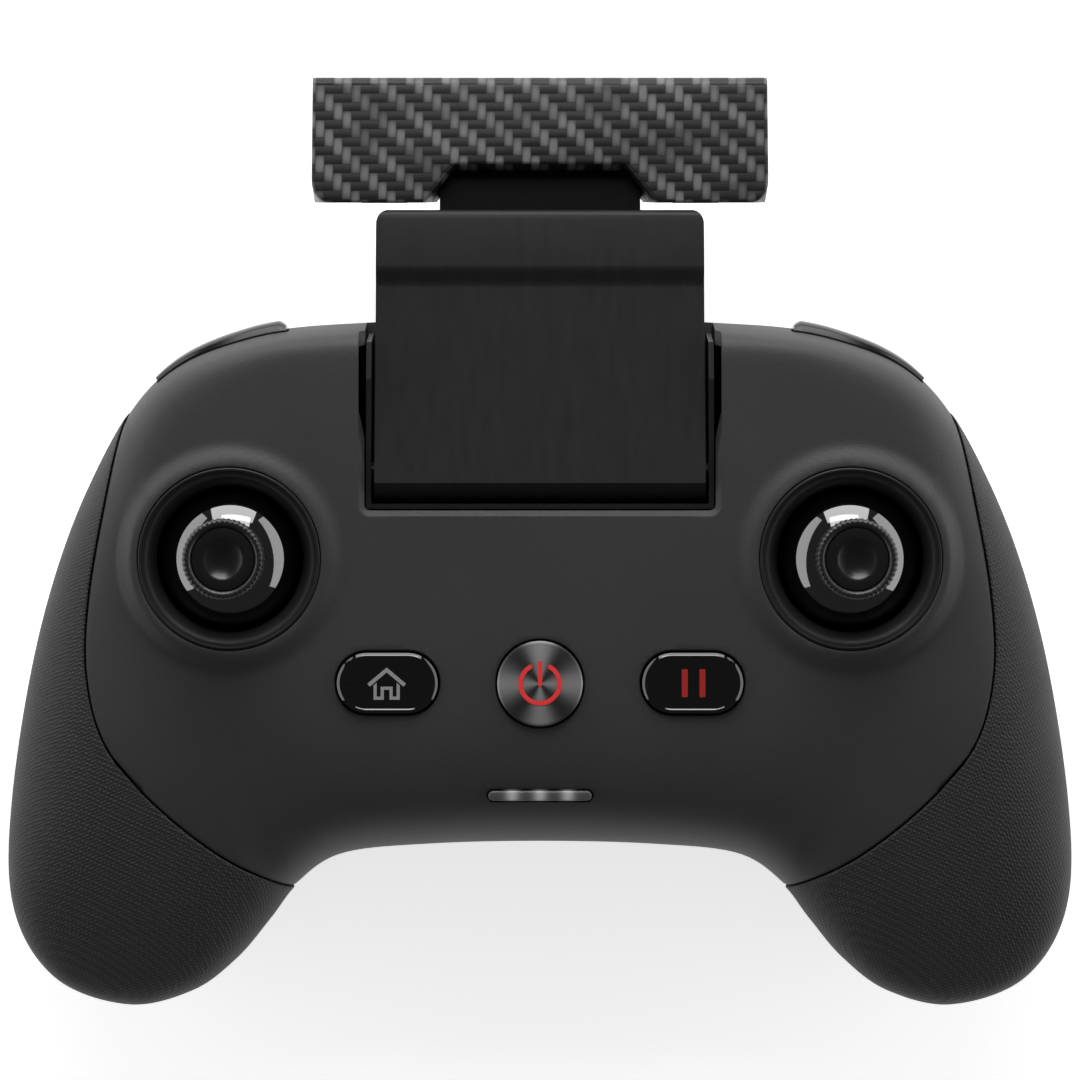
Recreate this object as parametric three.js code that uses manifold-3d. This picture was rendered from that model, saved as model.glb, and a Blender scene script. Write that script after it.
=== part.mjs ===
// Hand-held radio transmitter controller with a folding, telescoping phone holder.
// Units are millimetres. The controller lies on its back: +Z points out of its face, +Y runs from the
// grips to the phone holder, and +X is the right hand side of a person looking at the face.
import * as THREE from "three";
import { mergeVertices } from "three/addons/utils/BufferGeometryUtils.js";
import Module from "manifold-3d";

const wasm = await Module();
wasm.setup();

// ---------------------------------------------------------------- driving dimensions
const PARTING_Z = 25; // height of the joint between the front and rear shells
const WALL = 2.2; // thickness of the moulded shells
const FLOOR = 1.8; // thickness of the rear shell and grips where they are flat, on the table
const GAP = 0.3; // clearance between pieces that meet face to face
const RUN = 0.35; // clearance round a piece that slides or turns
const GRIP_PROUD = 0.35; // how far the grip covers stand proud of the shells
const MIDDLE_Y = -0.53; // middle of the whole controller along Y, which is moved to the origin

// Half of the outline, from the middle of the top edge round to the middle of the bottom edge:
// x, y, radius of the rolled front edge, and how crisply that edge meets the face.
const OUTLINE = [
  [0, 39.4, 60, 9],
  [31, 38.9, 60, 9],
  [52, 36.5, 56, 8],
  [69, 28.3, 45, 5],
  [81, 9, 34, 3.4],
  [89.5, -16, 30, 3],
  [94.6, -46, 26, 2.7],
  [94.4, -66, 25, 2.6],
  [87, -78.6, 24, 2.6],
  [74, -83.4, 24, 2.6],
  [62.5, -80.9, 24, 2.6],
  [54.6, -75.1, 24, 2.7],
  [48.6, -68, 24, 2.8],
  [43.6, -61.7, 24, 3],
  [35.5, -56.5, 25, 3.6],
  [20, -54.8, 26, 4],
  [0, -54.3, 26, 4],
];
// Half of the spine that the ribs of the body surface run to, from the middle out to the grip.
const SPINE = [
  [0, -7],
  [25, -7],
  [44, -9],
  [57, -15],
  [65, -26],
  [69.5, -40],
  [71.5, -55],
];
// The seam between the shells and the right grip cover, from above the shoulder to below the crotch.
const GRIP_SEAM = [
  [70.2, 34],
  [73.4, 24.6],
  [76.6, 8],
  [79.6, -10],
  [80, -24],
  [76.6, -36.5],
  [68, -46.8],
  [56, -56.4],
  [44, -62.4],
  [35, -66.5],
];
const REAR_ROUND = 24; // radius of the rolled rear edge
const REAR_CRISP = 3.6;

const STICK = {
  x: 54.6,
  y: -3.5,
  pivotZ: 34.4,
  domeR: 14.5,
  wellR: 16.1, // hole in the front shell
  bumpR: 20, // foot of the raised ring round the hole
  bumpZ: 46.2, // top of that ring
  throatR: 13.2, // hole inside the collar
  stemR: 2.4,
  capR: 7.1,
  capZ: 57.5,
  topZ: 62,
};
const COLLAR_DEPTH = 3.9; // from the top of the raised ring to the bottom of the collar
const GIMBAL = { ringIn: 15, ringOut: 16.9, ringHalf: 1.8, pinR: 1, inner: 17.8, outer: 18.9 };
const DOME = { wall: 1.3, crown: 15.4, skirt: -8, shoulder: 76 }; // the angles are degrees above level
const KEY = { x: 26.8, y: -25.3, length: 17.8, width: 10.7 };
const POWER = { r: 7.5, y: -25.4 };
const CAP_Z = 46.3; // tops of the three face buttons
const FLANGE_Z = 41; // their lower faces
const FLANGE = { lip: 0.9, height: 1.1 };
const LIGHT = { y: -45.2, length: 18.5, width: 2 };
const BOARD = { half: 33.5, y0: -46.5, y1: 2, z0: 35.6, z1: 37.2 };
const KEYPAD_Z = [38.4, 40.1];

// The holder is drawn from its pivot, with y up the holder and z out of its front.
const HOLDER = { y: 12, z: 40.5, lean: -12 };
const PLATE = { half: 29.1, top: 46.7, thick: 4.5, barrel: 5.5, corner: 2.5 };
const LIP = { from: 33, to: 35.5, rise: 1.3 };
const SLEEVE = { half: 17.9, low: 4, high: 54.3, back: -2.7, front: 2.5, wall: 1 };
const ARM = { half: 16.2, low: 6, high: 61.7, back: -1.3, front: 1.1 };
const CLAMP = {
  half: 40.7,
  low: 47.5,
  high: 71.5,
  back: -4.6,
  front: 6,
  wall: 1.6,
  corner: 3.4,
  slope: 0.3, // how far the gripping edge runs up for each mm towards the back
};
const BOARD_ROOM_X = 19.4; // where the room for an antenna board starts inside the clamp
const CLAMP_NOTCH = { topHalf: 15.3, lowHalf: 20.9, top: 54.6 };
const PAD = { x: 23.6, clampX: 27.8, half: 4, thick: 1.2, proud: 0.4, z0: -2.4, z1: 2.8 };
const BAY = { half: 30.9, low: 5, floor: -6.9, wall: 0.9, depth: 1.3 };
const HINGE_PIN = { r: 1.6, from: 21, to: 30.3 };

const WHEEL = { u: 2.42, inset: 9.4, r: 9, z0: 11.8, z1: 17.2, axleR: 1.3 };
// The shoulder keys run between these two places along the outline.
const SHOULDER = { from: 1.64, to: 2.97, z0: 27.2, z1: 35.8, out: 1.45, depth: 2.4, travel: 0.8 };
const SHOULDER_BEVEL = { width: 1.5, height: 3, foot: 1.4 };
const REAR_KEY = { x: 43, y: 3, length: 13, width: 7.5, proud: 0.7, topZ: 9 };
const USB = { z: 18.6, width: 9, height: 3.3, y0: -53.2, y1: -45.6, wall: 0.35 };
const BATTERY = { half: 30, y0: -12, y1: 28, z0: 11, z1: 22.5 };
const SPEAKER = { y: -24, r: 8, z0: 10.8, z1: 14.6, slots: 5, pitch: 2.8 };
const SCREWS = [
  [22, -44],
  [37.6, 29.5],
  [61, -34],
];
const SCREW = { headR: 2.4, headHeight: 1.8, sink: 0.9, shankR: 1.1, bossR: 3.2, tipZ: 33 };

// ---------------------------------------------------------------- materials
const finish = (color, roughness, metalness = 0) =>
  new THREE.MeshStandardMaterial({ color, roughness, metalness });
const M = {
  shell: finish(0x2b2b2d, 0.55),
  grip: finish(0x1f1f20, 0.75),
  bezel: finish(0x141415, 0.45),
  gloss: finish(0x060607, 0.08),
  plate: finish(0x121213, 0.4),
  carbon: finish(0x3a3b3d, 0.35, 0.2),
  steel: finish(0x9a9ca0, 0.3, 1),
  spun: finish(0x2a2a2b, 0.3, 1),
  rubber: finish(0x151515, 0.9),
  light: finish(0x6e7276, 0.3),
  board: finish(0x123a22, 0.5),
  cell: finish(0x2b3c66, 0.5),
  frame: finish(0x1a1a1b, 0.6),
};

// ---------------------------------------------------------------- solids
function solidOf(geometry) {
  const g = geometry.index ? geometry.toNonIndexed() : geometry.clone();
  g.deleteAttribute("normal");
  g.deleteAttribute("uv");
  const merged = mergeVertices(g, 1e-4);
  const index = [...merged.index.array];
  const kept = [];
  for (let i = 0; i < index.length; i += 3) {
    const [a, b, c] = index.slice(i, i + 3);
    if (a !== b && b !== c && c !== a) kept.push(a, b, c);
  }
  return new wasm.Manifold(
    new wasm.Mesh({
      numProp: 3,
      vertProperties: merged.attributes.position.array,
      triVerts: new Uint32Array(kept),
    }),
  );
}

function geometryOf(solid) {
  const mesh = solid.getMesh();
  const g = new THREE.BufferGeometry();
  g.setAttribute("position", new THREE.BufferAttribute(mesh.vertProperties, 3));
  g.setIndex(new THREE.BufferAttribute(mesh.triVerts, 1));
  g.computeVertexNormals();
  return g;
}

const join = (first, ...rest) => rest.reduce((whole, s) => whole.add(s), first);
const cut = (first, ...rest) => rest.reduce((whole, s) => whole.subtract(s), first);

function box(x0, x1, y0, y1, z0, z1) {
  const g = new THREE.BoxGeometry(x1 - x0, y1 - y0, z1 - z0);
  return solidOf(g.translate((x0 + x1) / 2, (y0 + y1) / 2, (z0 + z1) / 2));
}

function rod(r, z0, z1, x = 0, y = 0, sides = 24) {
  const g = new THREE.CylinderGeometry(r, r, z1 - z0, sides).rotateX(Math.PI / 2);
  return solidOf(g.translate(x, y, (z0 + z1) / 2));
}

// A rod along X, for pins.
function pin(r, x0, x1, y, z, sides = 20) {
  const g = new THREE.CylinderGeometry(r, r, x1 - x0, sides).rotateZ(Math.PI / 2);
  return solidOf(g.translate((x0 + x1) / 2, y, z));
}

// A turned piece about the vertical axis through x, y: the profile is a list of [radius, z].
function turned(profile, x, y, segments = 36) {
  const points = profile.map(([r, z]) => new THREE.Vector2(r, z));
  const spun = (list) => {
    const g = new THREE.LatheGeometry(list, segments).rotateX(Math.PI / 2);
    return solidOf(g.translate(x, y, 0));
  };
  const solid = spun(points);
  return solid.volume() > 0 ? solid : spun(points.reverse());
}

function prism(shape, z0, z1, curveSegments = 8) {
  const g = new THREE.ExtrudeGeometry(shape, {
    depth: z1 - z0,
    bevelEnabled: false,
    curveSegments,
  });
  return solidOf(g.translate(0, 0, z0));
}

function polygon(points) {
  return new THREE.Shape(points.map(([x, y]) => new THREE.Vector2(x, y)));
}

// A rectangle centred on cx, cy with rounded corners; r of half the width makes a pill.
function roundedRect(cx, cy, w, h, r) {
  const s = new THREE.Shape();
  const [x0, x1, y0, y1] = [cx - w / 2, cx + w / 2, cy - h / 2, cy + h / 2];
  s.moveTo(x0 + r, y0);
  s.lineTo(x1 - r, y0);
  s.absarc(x1 - r, y0 + r, r, -Math.PI / 2, 0);
  s.lineTo(x1, y1 - r);
  s.absarc(x1 - r, y1 - r, r, 0, Math.PI / 2);
  s.lineTo(x0 + r, y1);
  s.absarc(x0 + r, y1 - r, r, Math.PI / 2, Math.PI);
  s.lineTo(x0, y0 + r);
  s.absarc(x0 + r, y0 + r, r, Math.PI, 1.5 * Math.PI);
  return s;
}

const pill = (cx, cy, w, h) => roundedRect(cx, cy, w, h, Math.min(w, h) / 2 - 0.01);

// A solid from a flat list of triangle corners that may all wind the wrong way.
function facingOut(corners) {
  const g = new THREE.BufferGeometry();
  g.setAttribute("position", new THREE.Float32BufferAttribute(corners, 3));
  const solid = solidOf(g);
  if (solid.volume() > 0) return solid;
  const turnedRound = [];
  for (let i = 0; i < corners.length; i += 9) {
    turnedRound.push(
      ...corners.slice(i, i + 3),
      ...corners.slice(i + 6, i + 9),
      ...corners.slice(i + 3, i + 6),
    );
  }
  g.setAttribute("position", new THREE.Float32BufferAttribute(turnedRound, 3));
  return solidOf(g);
}

// ---------------------------------------------------------------- the body surface
// A Catmull-Rom curve through rows of numbers; u counts the rows.
function along(rows, u) {
  const i = Math.min(Math.floor(u), rows.length - 2);
  const t = u - i;
  const at = (k) => {
    if (k < 0) return rows[0].map((v, n) => 2 * v - rows[1][n]);
    if (k > rows.length - 1) {
      const last = rows[rows.length - 1];
      return last.map((v, n) => 2 * v - rows[rows.length - 2][n]);
    }
    return rows[k];
  };
  const [a, b, c, d] = [at(i - 1), at(i), at(i + 1), at(i + 2)];
  return b.map(
    (v, n) =>
      v +
      0.5 *
        t *
        (c[n] - a[n] + t * (2 * a[n] - 5 * v + 4 * c[n] - d[n] + t * (3 * (v - c[n]) + d[n] - a[n]))),
  );
}

const mirrored = (rows) => {
  const left = rows.slice(1).reverse();
  return [...left.map(([x, ...rest]) => [-x, ...rest]), ...rows];
};
const HALF = OUTLINE.length - 1; // rows from the top middle to the bottom middle
const TIP = SPINE.length - 1; // the outline row whose rib first reaches the spine's end
const RING = mirrored(OUTLINE);
const RING_SPINE = mirrored(SPINE);

// Outline row u, from 0 at the top middle to HALF at the bottom middle, on the right side.
const outlineAt = (u) => along(RING, u + HALF);
const spineAt = (u) => along(RING_SPINE, u + TIP);

// The outward normal of the outline there.
function outlineNormal(u) {
  const [a, b] = [outlineAt(Math.max(u - 0.01, 0)), outlineAt(Math.min(u + 0.01, HALF))];
  const [dx, dy] = [b[0] - a[0], b[1] - a[1]];
  const length = Math.hypot(dx, dy);
  return [-dy / length, dx / length];
}

function ribFoot(u) {
  if (u <= TIP) return spineAt(u);
  return u < HALF - TIP ? SPINE[TIP] : spineAt(HALF - u);
}

const hill = (x, y, cx, cy, rx, ry, power) =>
  Math.exp(-(Math.abs((x - cx) / rx) ** power + Math.abs((y - cy) / ry) ** power));

// Height of the face above the parting plane, and depth of the back below it, before the edges roll.
function faceHeight(x, y) {
  return 20.5 - 1.1 * (x / 60) ** 2 - 8 * (Math.max(0, -28 - y) / 50) ** 2;
}
function backDepth(x, y) {
  const grip = hill(Math.abs(x), y, 71, -46, 24, 32, 2);
  return 17 + 9.6 * hill(x, y, 0, 14, 50, 19, 4) + 9.4 * grip;
}

// Point of the body surface on rib u at share r of the way in, for a skin that many mm inside it.
function bodyPoint(u, r, side, skin) {
  const [px, py, round, crisp] = outlineAt(u);
  const [sx, sy] = ribFoot(u);
  const [nx, ny] = outlineNormal(u);
  const across = Math.abs((px - sx) * nx + (py - sy) * ny);
  const share = skin / across + r * (1 - skin / across);
  const [x, y] = [px + (sx - px) * share, py + (sy - py) * share];
  const front = side > 0;
  const height = (front ? faceHeight(x, y) : backDepth(x, y)) - skin;
  const power = front ? crisp : REAR_CRISP;
  let z = height;
  if (r < 1) {
    const reach = 2 * (front ? round : REAR_ROUND) * (across - skin) * r;
    const wall = Math.sqrt(reach) / Math.cos((Math.PI / 2) * r);
    z = wall > 0 ? (height ** -power + wall ** -power) ** (-1 / power) : 0;
  }
  return [x, y, PARTING_Z + side * z];
}

// The closed body surface, skin mm inside the outside, with steps ribs in each outline row.
function bodySolid(skin, steps, rings) {
  const count = 2 * HALF * steps;
  const ribs = Array.from({ length: count }, (_, i) => i / steps);
  const at = (i, j, side) => {
    const u = ribs[i % count];
    const r = (j / rings) ** 1.7;
    const [x, y, z] = bodyPoint(u <= HALF ? u : 2 * HALF - u, r, side, skin);
    return [u <= HALF ? x : -x, y, z];
  };
  const corners = [];
  const quad = (a, b, c, d) => corners.push(...a, ...b, ...c, ...a, ...c, ...d);
  for (let i = 0; i < count; i++) {
    for (let j = 0; j < rings; j++) {
      quad(at(i, j, 1), at(i, j + 1, 1), at(i + 1, j + 1, 1), at(i + 1, j, 1));
      quad(at(i, j, -1), at(i + 1, j, -1), at(i + 1, j + 1, -1), at(i, j + 1, -1));
    }
  }
  return facingOut(corners);
}

const BIG = 130;
const aboveTable = box(-BIG, BIG, -BIG, BIG, 0, BIG);
const frontHalf = box(-BIG, BIG, -BIG, BIG, PARTING_Z + GAP / 2, BIG);
const rearHalf = box(-BIG, BIG, -BIG, BIG, -1, PARTING_Z - GAP / 2);
const outside = bodySolid(0, 2, 6).intersect(aboveTable);
const gripOutside = bodySolid(-GRIP_PROUD, 2, 6).intersect(aboveTable);
const inside = bodySolid(WALL, 1, 4).intersect(box(-BIG, BIG, -BIG, BIG, FLOOR, BIG));

// The plan region of one grip, grown by the given distance.
function gripRegion(side, grow) {
  const last = GRIP_SEAM.length - 1;
  const seam = [];
  for (let u = 0; u <= last; u += 0.5) {
    const [x, y] = along(GRIP_SEAM, u);
    const [x0, y0] = along(GRIP_SEAM, Math.max(u - 0.05, 0));
    const [x1, y1] = along(GRIP_SEAM, Math.min(u + 0.05, last));
    const length = Math.hypot(x1 - x0, y1 - y0);
    seam.push([x + ((y1 - y0) / length) * grow, y - ((x1 - x0) / length) * grow]);
  }
  const right = [...seam, [35, -BIG], [BIG, -BIG], [BIG, 34]];
  const points = side > 0 ? right : right.map(([x, y]) => [-x, y]).reverse();
  return prism(polygon(points), -1, BIG);
}

// Height of the back or the face of the body above a point.
function surfaceSpan(x, y) {
  const { min, max } = rod(0.3, -1, BIG, x, y, 8).intersect(outside).boundingBox();
  return [min[2], max[2]];
}

// ---------------------------------------------------------------- scene graph helpers
const controller = new THREE.Group();
controller.position.y = -MIDDLE_Y;

function add(name, solid, material, parent = controller) {
  const mesh = new THREE.Mesh(geometryOf(solid), material);
  mesh.name = name;
  parent.add(mesh);
}

const mirrorX = (solid) => solid.mirror([1, 0, 0]);
const both = (solid) => join(solid, mirrorX(solid));

// One right-hand piece and its mirror image, each a node of its own.
function addPair(name, solid, material, parent = controller) {
  add(`right_${name}`, solid, material, parent);
  add(`left_${name}`, mirrorX(solid), material, parent);
}

const holder = new THREE.Group();
holder.position.set(0, HOLDER.y, HOLDER.z);
holder.rotation.x = THREE.MathUtils.degToRad(HOLDER.lean);
controller.add(holder);
const leaned = (solid) => solid.rotate([HOLDER.lean, 0, 0]).translate([0, HOLDER.y, HOLDER.z]);

// A solid whose section is a profile of [y, z] rows, from x0 to x1.
function beam(profile, x0, x1) {
  const g = new THREE.ExtrudeGeometry(polygon(profile), { depth: x1 - x0, bevelEnabled: false });
  const turn = new THREE.Matrix4().set(0, 0, 1, x0, 1, 0, 0, 0, 0, 1, 0, 0, 0, 0, 0, 1);
  return solidOf(g.applyMatrix4(turn));
}

function arcRows(cy, cz, r, from, to, steps) {
  return Array.from({ length: steps + 1 }, (_, i) => {
    const a = THREE.MathUtils.degToRad(from + ((to - from) * i) / steps);
    return [cy + r * Math.cos(a), cz + r * Math.sin(a)];
  });
}

// ---------------------------------------------------------------- shells and grips
const gripCut = join(gripRegion(1, GAP / 2), gripRegion(-1, GAP / 2));

// The room for the holder in the top of the front shell, grown by the given distance.
function bayRoom(grow) {
  const half = BAY.half + grow;
  const low = BAY.low - grow;
  return leaned(box(-half, half, -BIG, BIG, BAY.floor - grow, BIG)).intersect(
    box(-half, half, low, BIG, 0, BIG),
  );
}

// A closed solid skinned over a row of sections that all have the same number of points.
function skinned(sections) {
  const corners = [];
  const n = sections[0].length;
  for (let k = 0; k < sections.length - 1; k++) {
    for (let i = 0; i < n; i++) {
      const [a, b] = [sections[k][i], sections[k][(i + 1) % n]];
      const [c, d] = [sections[k + 1][(i + 1) % n], sections[k + 1][i]];
      corners.push(...a, ...b, ...c, ...a, ...c, ...d);
    }
  }
  const [first, last] = [sections[0], sections[sections.length - 1]];
  for (let i = 1; i < n - 1; i++) {
    corners.push(...first[0], ...first[i + 1], ...first[i]);
    corners.push(...last[0], ...last[i], ...last[i + 1]);
  }
  return facingOut(corners);
}

// The right shoulder key follows the outline; it swells quickly at its inner end and fades outwards.
function shoulderBar(grow, outGrow) {
  const steps = 8;
  const { width, height, foot } = SHOULDER_BEVEL;
  const sections = [];
  for (let k = 0; k <= steps; k++) {
    const share = (k / steps) ** 1.5;
    const stretch = grow / 20;
    const u = SHOULDER.from - stretch + (SHOULDER.to - SHOULDER.from + 2 * stretch) * share;
    const [x, y] = outlineAt(u);
    const [nx, ny] = outlineNormal(u);
    const roundedEnd = Math.sqrt(Math.min(1, (share + 0.004) / 0.05));
    const swell = SHOULDER.out * (1 - 0.75 * share ** 2.2) * roundedEnd + outGrow;
    const taper = 1.6 * share;
    const low = SHOULDER.z0 + taper - grow;
    const high = SHOULDER.z1 - taper + grow;
    const point = (out, z) => [x + nx * out, y + ny * out, z];
    sections.push([
      point(-SHOULDER.depth - grow, low),
      point(-SHOULDER.depth - grow, high),
      point(swell - width, high),
      point(swell, high - height),
      point(swell, low + foot),
      point(swell - foot, low),
    ]);
  }
  return skinned(sections);
}
const shoulderPocket = shoulderBar(RUN, 6).add(shoulderBar(RUN, 0).translate(inwards(SHOULDER.travel + RUN)));

function inwards(distance) {
  const [nx, ny] = outlineNormal((SHOULDER.from + SHOULDER.to) / 2);
  return [-nx * distance, -ny * distance, 0];
}

const wheelAt = (() => {
  const [x, y] = outlineAt(WHEEL.u);
  const [nx, ny] = outlineNormal(WHEEL.u);
  return [x - nx * WHEEL.inset, y - ny * WHEEL.inset];
})();

function wellRing() {
  const { x, y, wellR, bumpR, bumpZ } = STICK;
  const foot = PARTING_Z + 14;
  const profile = [[0, foot], [bumpR, foot], [bumpR, bumpZ - 1.7], [wellR + 1, bumpZ], [0, bumpZ]];
  return turned(profile, x, y, 30);
}

const keyShape = (x, grow) => pill(x, KEY.y, KEY.length + 2 * grow, KEY.width + 2 * grow);
const lightShape = (grow) => pill(0, LIGHT.y, LIGHT.length + 2 * grow, LIGHT.width + 2 * grow);
const rearKeyShape = (grow) =>
  pill(REAR_KEY.x, REAR_KEY.y, REAR_KEY.length + 2 * grow, REAR_KEY.width + 2 * grow);

function frontShell() {
  const posts = SCREWS.map(([x, y]) => both(rod(SCREW.bossR, PARTING_Z, 60, x, y, 12)));
  const solid = join(cut(outside.add(both(wellRing())), inside), ...posts.map((p) => p.intersect(outside)));
  return cut(
    solid.intersect(frontHalf),
    gripCut,
    both(rod(STICK.wellR, PARTING_Z, 60, STICK.x, STICK.y, 30)),
    both(prism(keyShape(KEY.x, RUN), PARTING_Z, 60, 5)),
    rod(POWER.r + RUN, PARTING_Z, 60, 0, POWER.y, 28),
    prism(lightShape(0.15), PARTING_Z, 60, 3),
    bayRoom(0),
    both(shoulderPocket),
    ...SCREWS.map(([x, y]) => both(rod(SCREW.shankR + GAP, 20, SCREW.tipZ + GAP, x, y, 10))),
  );
}

const usbHole = (() => {
  const [half, rise] = [USB.width / 2 + GAP, USB.height / 2 + GAP];
  return box(-half, half, -60, -46, USB.z - rise, USB.z + rise);
})();

function rearShell() {
  const bosses = SCREWS.map(([x, y]) => both(rod(SCREW.bossR, 0, PARTING_Z, x, y, 12)));
  const solid = join(cut(outside, inside), ...bosses.map((b) => b.intersect(outside)));
  const slots = Array.from({ length: SPEAKER.slots }, (_, i) => {
    const x = (i - (SPEAKER.slots - 1) / 2) * SPEAKER.pitch;
    return prism(pill(x, SPEAKER.y, 1.4, 9), -1, 12, 2);
  });
  return cut(
    solid.intersect(rearHalf),
    gripCut,
    ...slots,
    ...SCREWS.map(([x, y]) => both(rod(SCREW.headR + GAP, -1, screwSeat(x, y), x, y, 12))),
    ...SCREWS.map(([x, y]) => both(rod(SCREW.shankR + GAP, 0, PARTING_Z, x, y, 10))),
    both(rod(WHEEL.r + RUN, WHEEL.z0 - RUN, WHEEL.z1 + RUN, ...wheelAt, 24)),
    both(rod(4.6, WHEEL.z0 - 2, WHEEL.z1 + 2, ...wheelAt, 14)),
    both(prism(rearKeyShape(RUN), -1, REAR_KEY.topZ, 4)),
    both(prism(rearKeyShape(1.2 + RUN), REAR_KEY.topZ - 1 - RUN, 20, 4)),
    usbHole,
  );
}

function screwSeat(x, y) {
  return surfaceSpan(x, y)[0] + SCREW.sink + SCREW.headHeight;
}

function gripCover() {
  return cut(gripOutside.intersect(gripRegion(1, -GAP / 2)), inside);
}

function housingScrew(x, y) {
  const seat = screwSeat(x, y) - GAP;
  const head = rod(SCREW.headR, seat - SCREW.headHeight, seat, x, y, 14);
  const socket = rod(1.1, seat - SCREW.headHeight - 1, seat - 0.7, x, y, 6);
  return cut(head, socket).add(rod(SCREW.shankR, seat - 0.5, SCREW.tipZ, x, y, 10));
}

// ---------------------------------------------------------------- sticks and gimbals
function stickCollar() {
  const { x, y, wellR, throatR, bumpZ } = STICK;
  const out = wellR - GAP;
  const low = bumpZ - COLLAR_DEPTH;
  const lip = bumpZ - 0.4;
  const funnel = [[out, lip], [out - 0.6, lip], [throatR, lip - 3]];
  return turned([[throatR, low], [out, low], ...funnel, [throatR, low]], x, y, 30);
}

function gimbalHousing() {
  const { x, y, pivotZ } = STICK;
  const square = (half, z0, z1) => prism(roundedRect(x, y, 2 * half, 2 * half, half / 3), z0, z1, 3);
  const [low, high] = [pivotZ - 9, pivotZ + 3.6];
  const walls = cut(square(GIMBAL.outer, low, high), square(GIMBAL.inner, low - 1, high + 1));
  const hole = new THREE.CylinderGeometry(GIMBAL.pinR + RUN, GIMBAL.pinR + RUN, 60, 12);
  return cut(walls, solidOf(hole.translate(x, y, pivotZ)));
}

function gimbalRing() {
  const { x, y, pivotZ } = STICK;
  const { ringIn, ringOut, ringHalf, pinR, outer } = GIMBAL;
  const ring = turned(
    [
      [ringIn, pivotZ - ringHalf],
      [ringOut, pivotZ - ringHalf],
      [ringOut, pivotZ + ringHalf],
      [ringIn, pivotZ + ringHalf],
      [ringIn, pivotZ - ringHalf],
    ],
    x,
    y,
    24,
  );
  const trunnion = new THREE.CylinderGeometry(pinR, pinR, outer - ringIn - 1, 12);
  const offset = (outer + ringIn + 1) / 2;
  const trunnions = [-1, 1].map((s) => solidOf(trunnion.clone().translate(x, y + s * offset, pivotZ)));
  const bore = pin(pinR + RUN, x - outer, x + outer, y, pivotZ, 12);
  return join(cut(ring, bore), ...trunnions);
}

function stickDome() {
  const { x, y, pivotZ, domeR, stemR } = STICK;
  const { wall, crown, skirt, shoulder } = DOME;
  const outer = arcRows(0, pivotZ, domeR, shoulder, skirt, 6);
  const inner = arcRows(0, pivotZ, domeR - wall, skirt, 90, 5);
  const profile = [[stemR + 0.3, pivotZ + crown], ...outer, ...inner];
  profile[profile.length - 1] = [stemR + 0.3, inner[inner.length - 1][1]];
  const shell = turned([...profile, profile[0]], x, y, 24);
  const pins = [-1, 1].map((s) => {
    const from = domeR - wall / 2;
    const to = GIMBAL.ringOut - 0.6;
    const [x0, x1] = s > 0 ? [x + from, x + to] : [x - to, x - from];
    return pin(GIMBAL.pinR, x0, x1, y, pivotZ, 12);
  });
  return join(shell, ...pins);
}

function stickStem() {
  const { x, y, pivotZ, domeR, stemR, capZ } = STICK;
  return rod(stemR, pivotZ + domeR - 5, capZ + 1, x, y, 16);
}

function stickCap() {
  const { x, y, capR, stemR, capZ, topZ } = STICK;
  const bore = stemR + GAP;
  return turned(
    [
      [0, capZ + 1 + GAP],
      [bore, capZ + 1 + GAP],
      [bore, capZ - 2.4],
      [3.6, capZ - 2.4],
      [4.4, capZ - 0.2],
      [capR - 0.6, capZ + 0.6],
      [capR, capZ + 1.4],
      [capR, topZ - 0.8],
      [capR - 0.5, topZ - 0.1],
      [capR - 1.3, topZ],
      [3.9, topZ - 0.3],
      [2.6, topZ - 0.9],
      [0, topZ - 1.2],
    ],
    x,
    y,
    26,
  );
}

const sensorY = STICK.y - GIMBAL.outer - GAP;
const gimbalSensor = () =>
  box(STICK.x - 5, STICK.x + 5, sensorY - 2.2, sensorY, STICK.pivotZ - 5, STICK.pivotZ + 5);

// ---------------------------------------------------------------- face buttons and electronics
function faceButton(shape, flangeShape) {
  return prism(shape, FLANGE_Z, CAP_Z, 5).add(prism(flangeShape, FLANGE_Z, FLANGE_Z + FLANGE.height, 5));
}

function disc(r) {
  const s = new THREE.Shape();
  s.absarc(0, POWER.y, r, 0, 2 * Math.PI);
  return s;
}

const boardShape = (inset) =>
  roundedRect(0, (BOARD.y0 + BOARD.y1) / 2, 2 * (BOARD.half - inset), BOARD.y1 - BOARD.y0 - 2 * inset, 3);
const postHoles = SCREWS.slice(0, 1).map(([x, y]) => both(rod(SCREW.bossR + GAP, 30, 42, x, y, 14)));

function lightPipe() {
  return prism(lightShape(-0.15), BOARD.z1 + 0.5, 60, 3).intersect(outside);
}

function keypad() {
  const [z0, z1] = KEYPAD_Z;
  const height = KEY.width + 2;
  const sheet = prism(roundedRect(0, KEY.y, 2 * KEY.x + KEY.length + 2, height, 2), z0 - 0.8, z0, 3);
  const pads = [-KEY.x, 0, KEY.x].map((x) => rod(2.2, z0 - 0.4, z1, x, KEY.y, 14));
  return join(sheet, ...pads);
}

function usbPort() {
  const { z, width, height, y0, y1, wall } = USB;
  const section = (inset) => pill(0, z, width - 2 * inset, height - 2 * inset);
  const tube = (inset, from, to) => {
    const settings = { depth: to - from, bevelEnabled: false, curveSegments: 4 };
    const g = new THREE.ExtrudeGeometry(section(inset), settings);
    return solidOf(g.rotateX(Math.PI / 2).translate(0, to, 0));
  };
  const shell = cut(tube(0, y0, y1), tube(wall, y0 - 1, y1 - 1));
  return shell.add(box(-3.3, 3.3, y0 + 1.2, y1 - 0.5, z - 0.35, z + 0.35));
}

const chargeBoard = () => {
  const top = USB.z - USB.height / 2 - GAP;
  return box(-11, 11, USB.y0 + 6.2, -36, top - 1.2, top);
};

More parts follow.
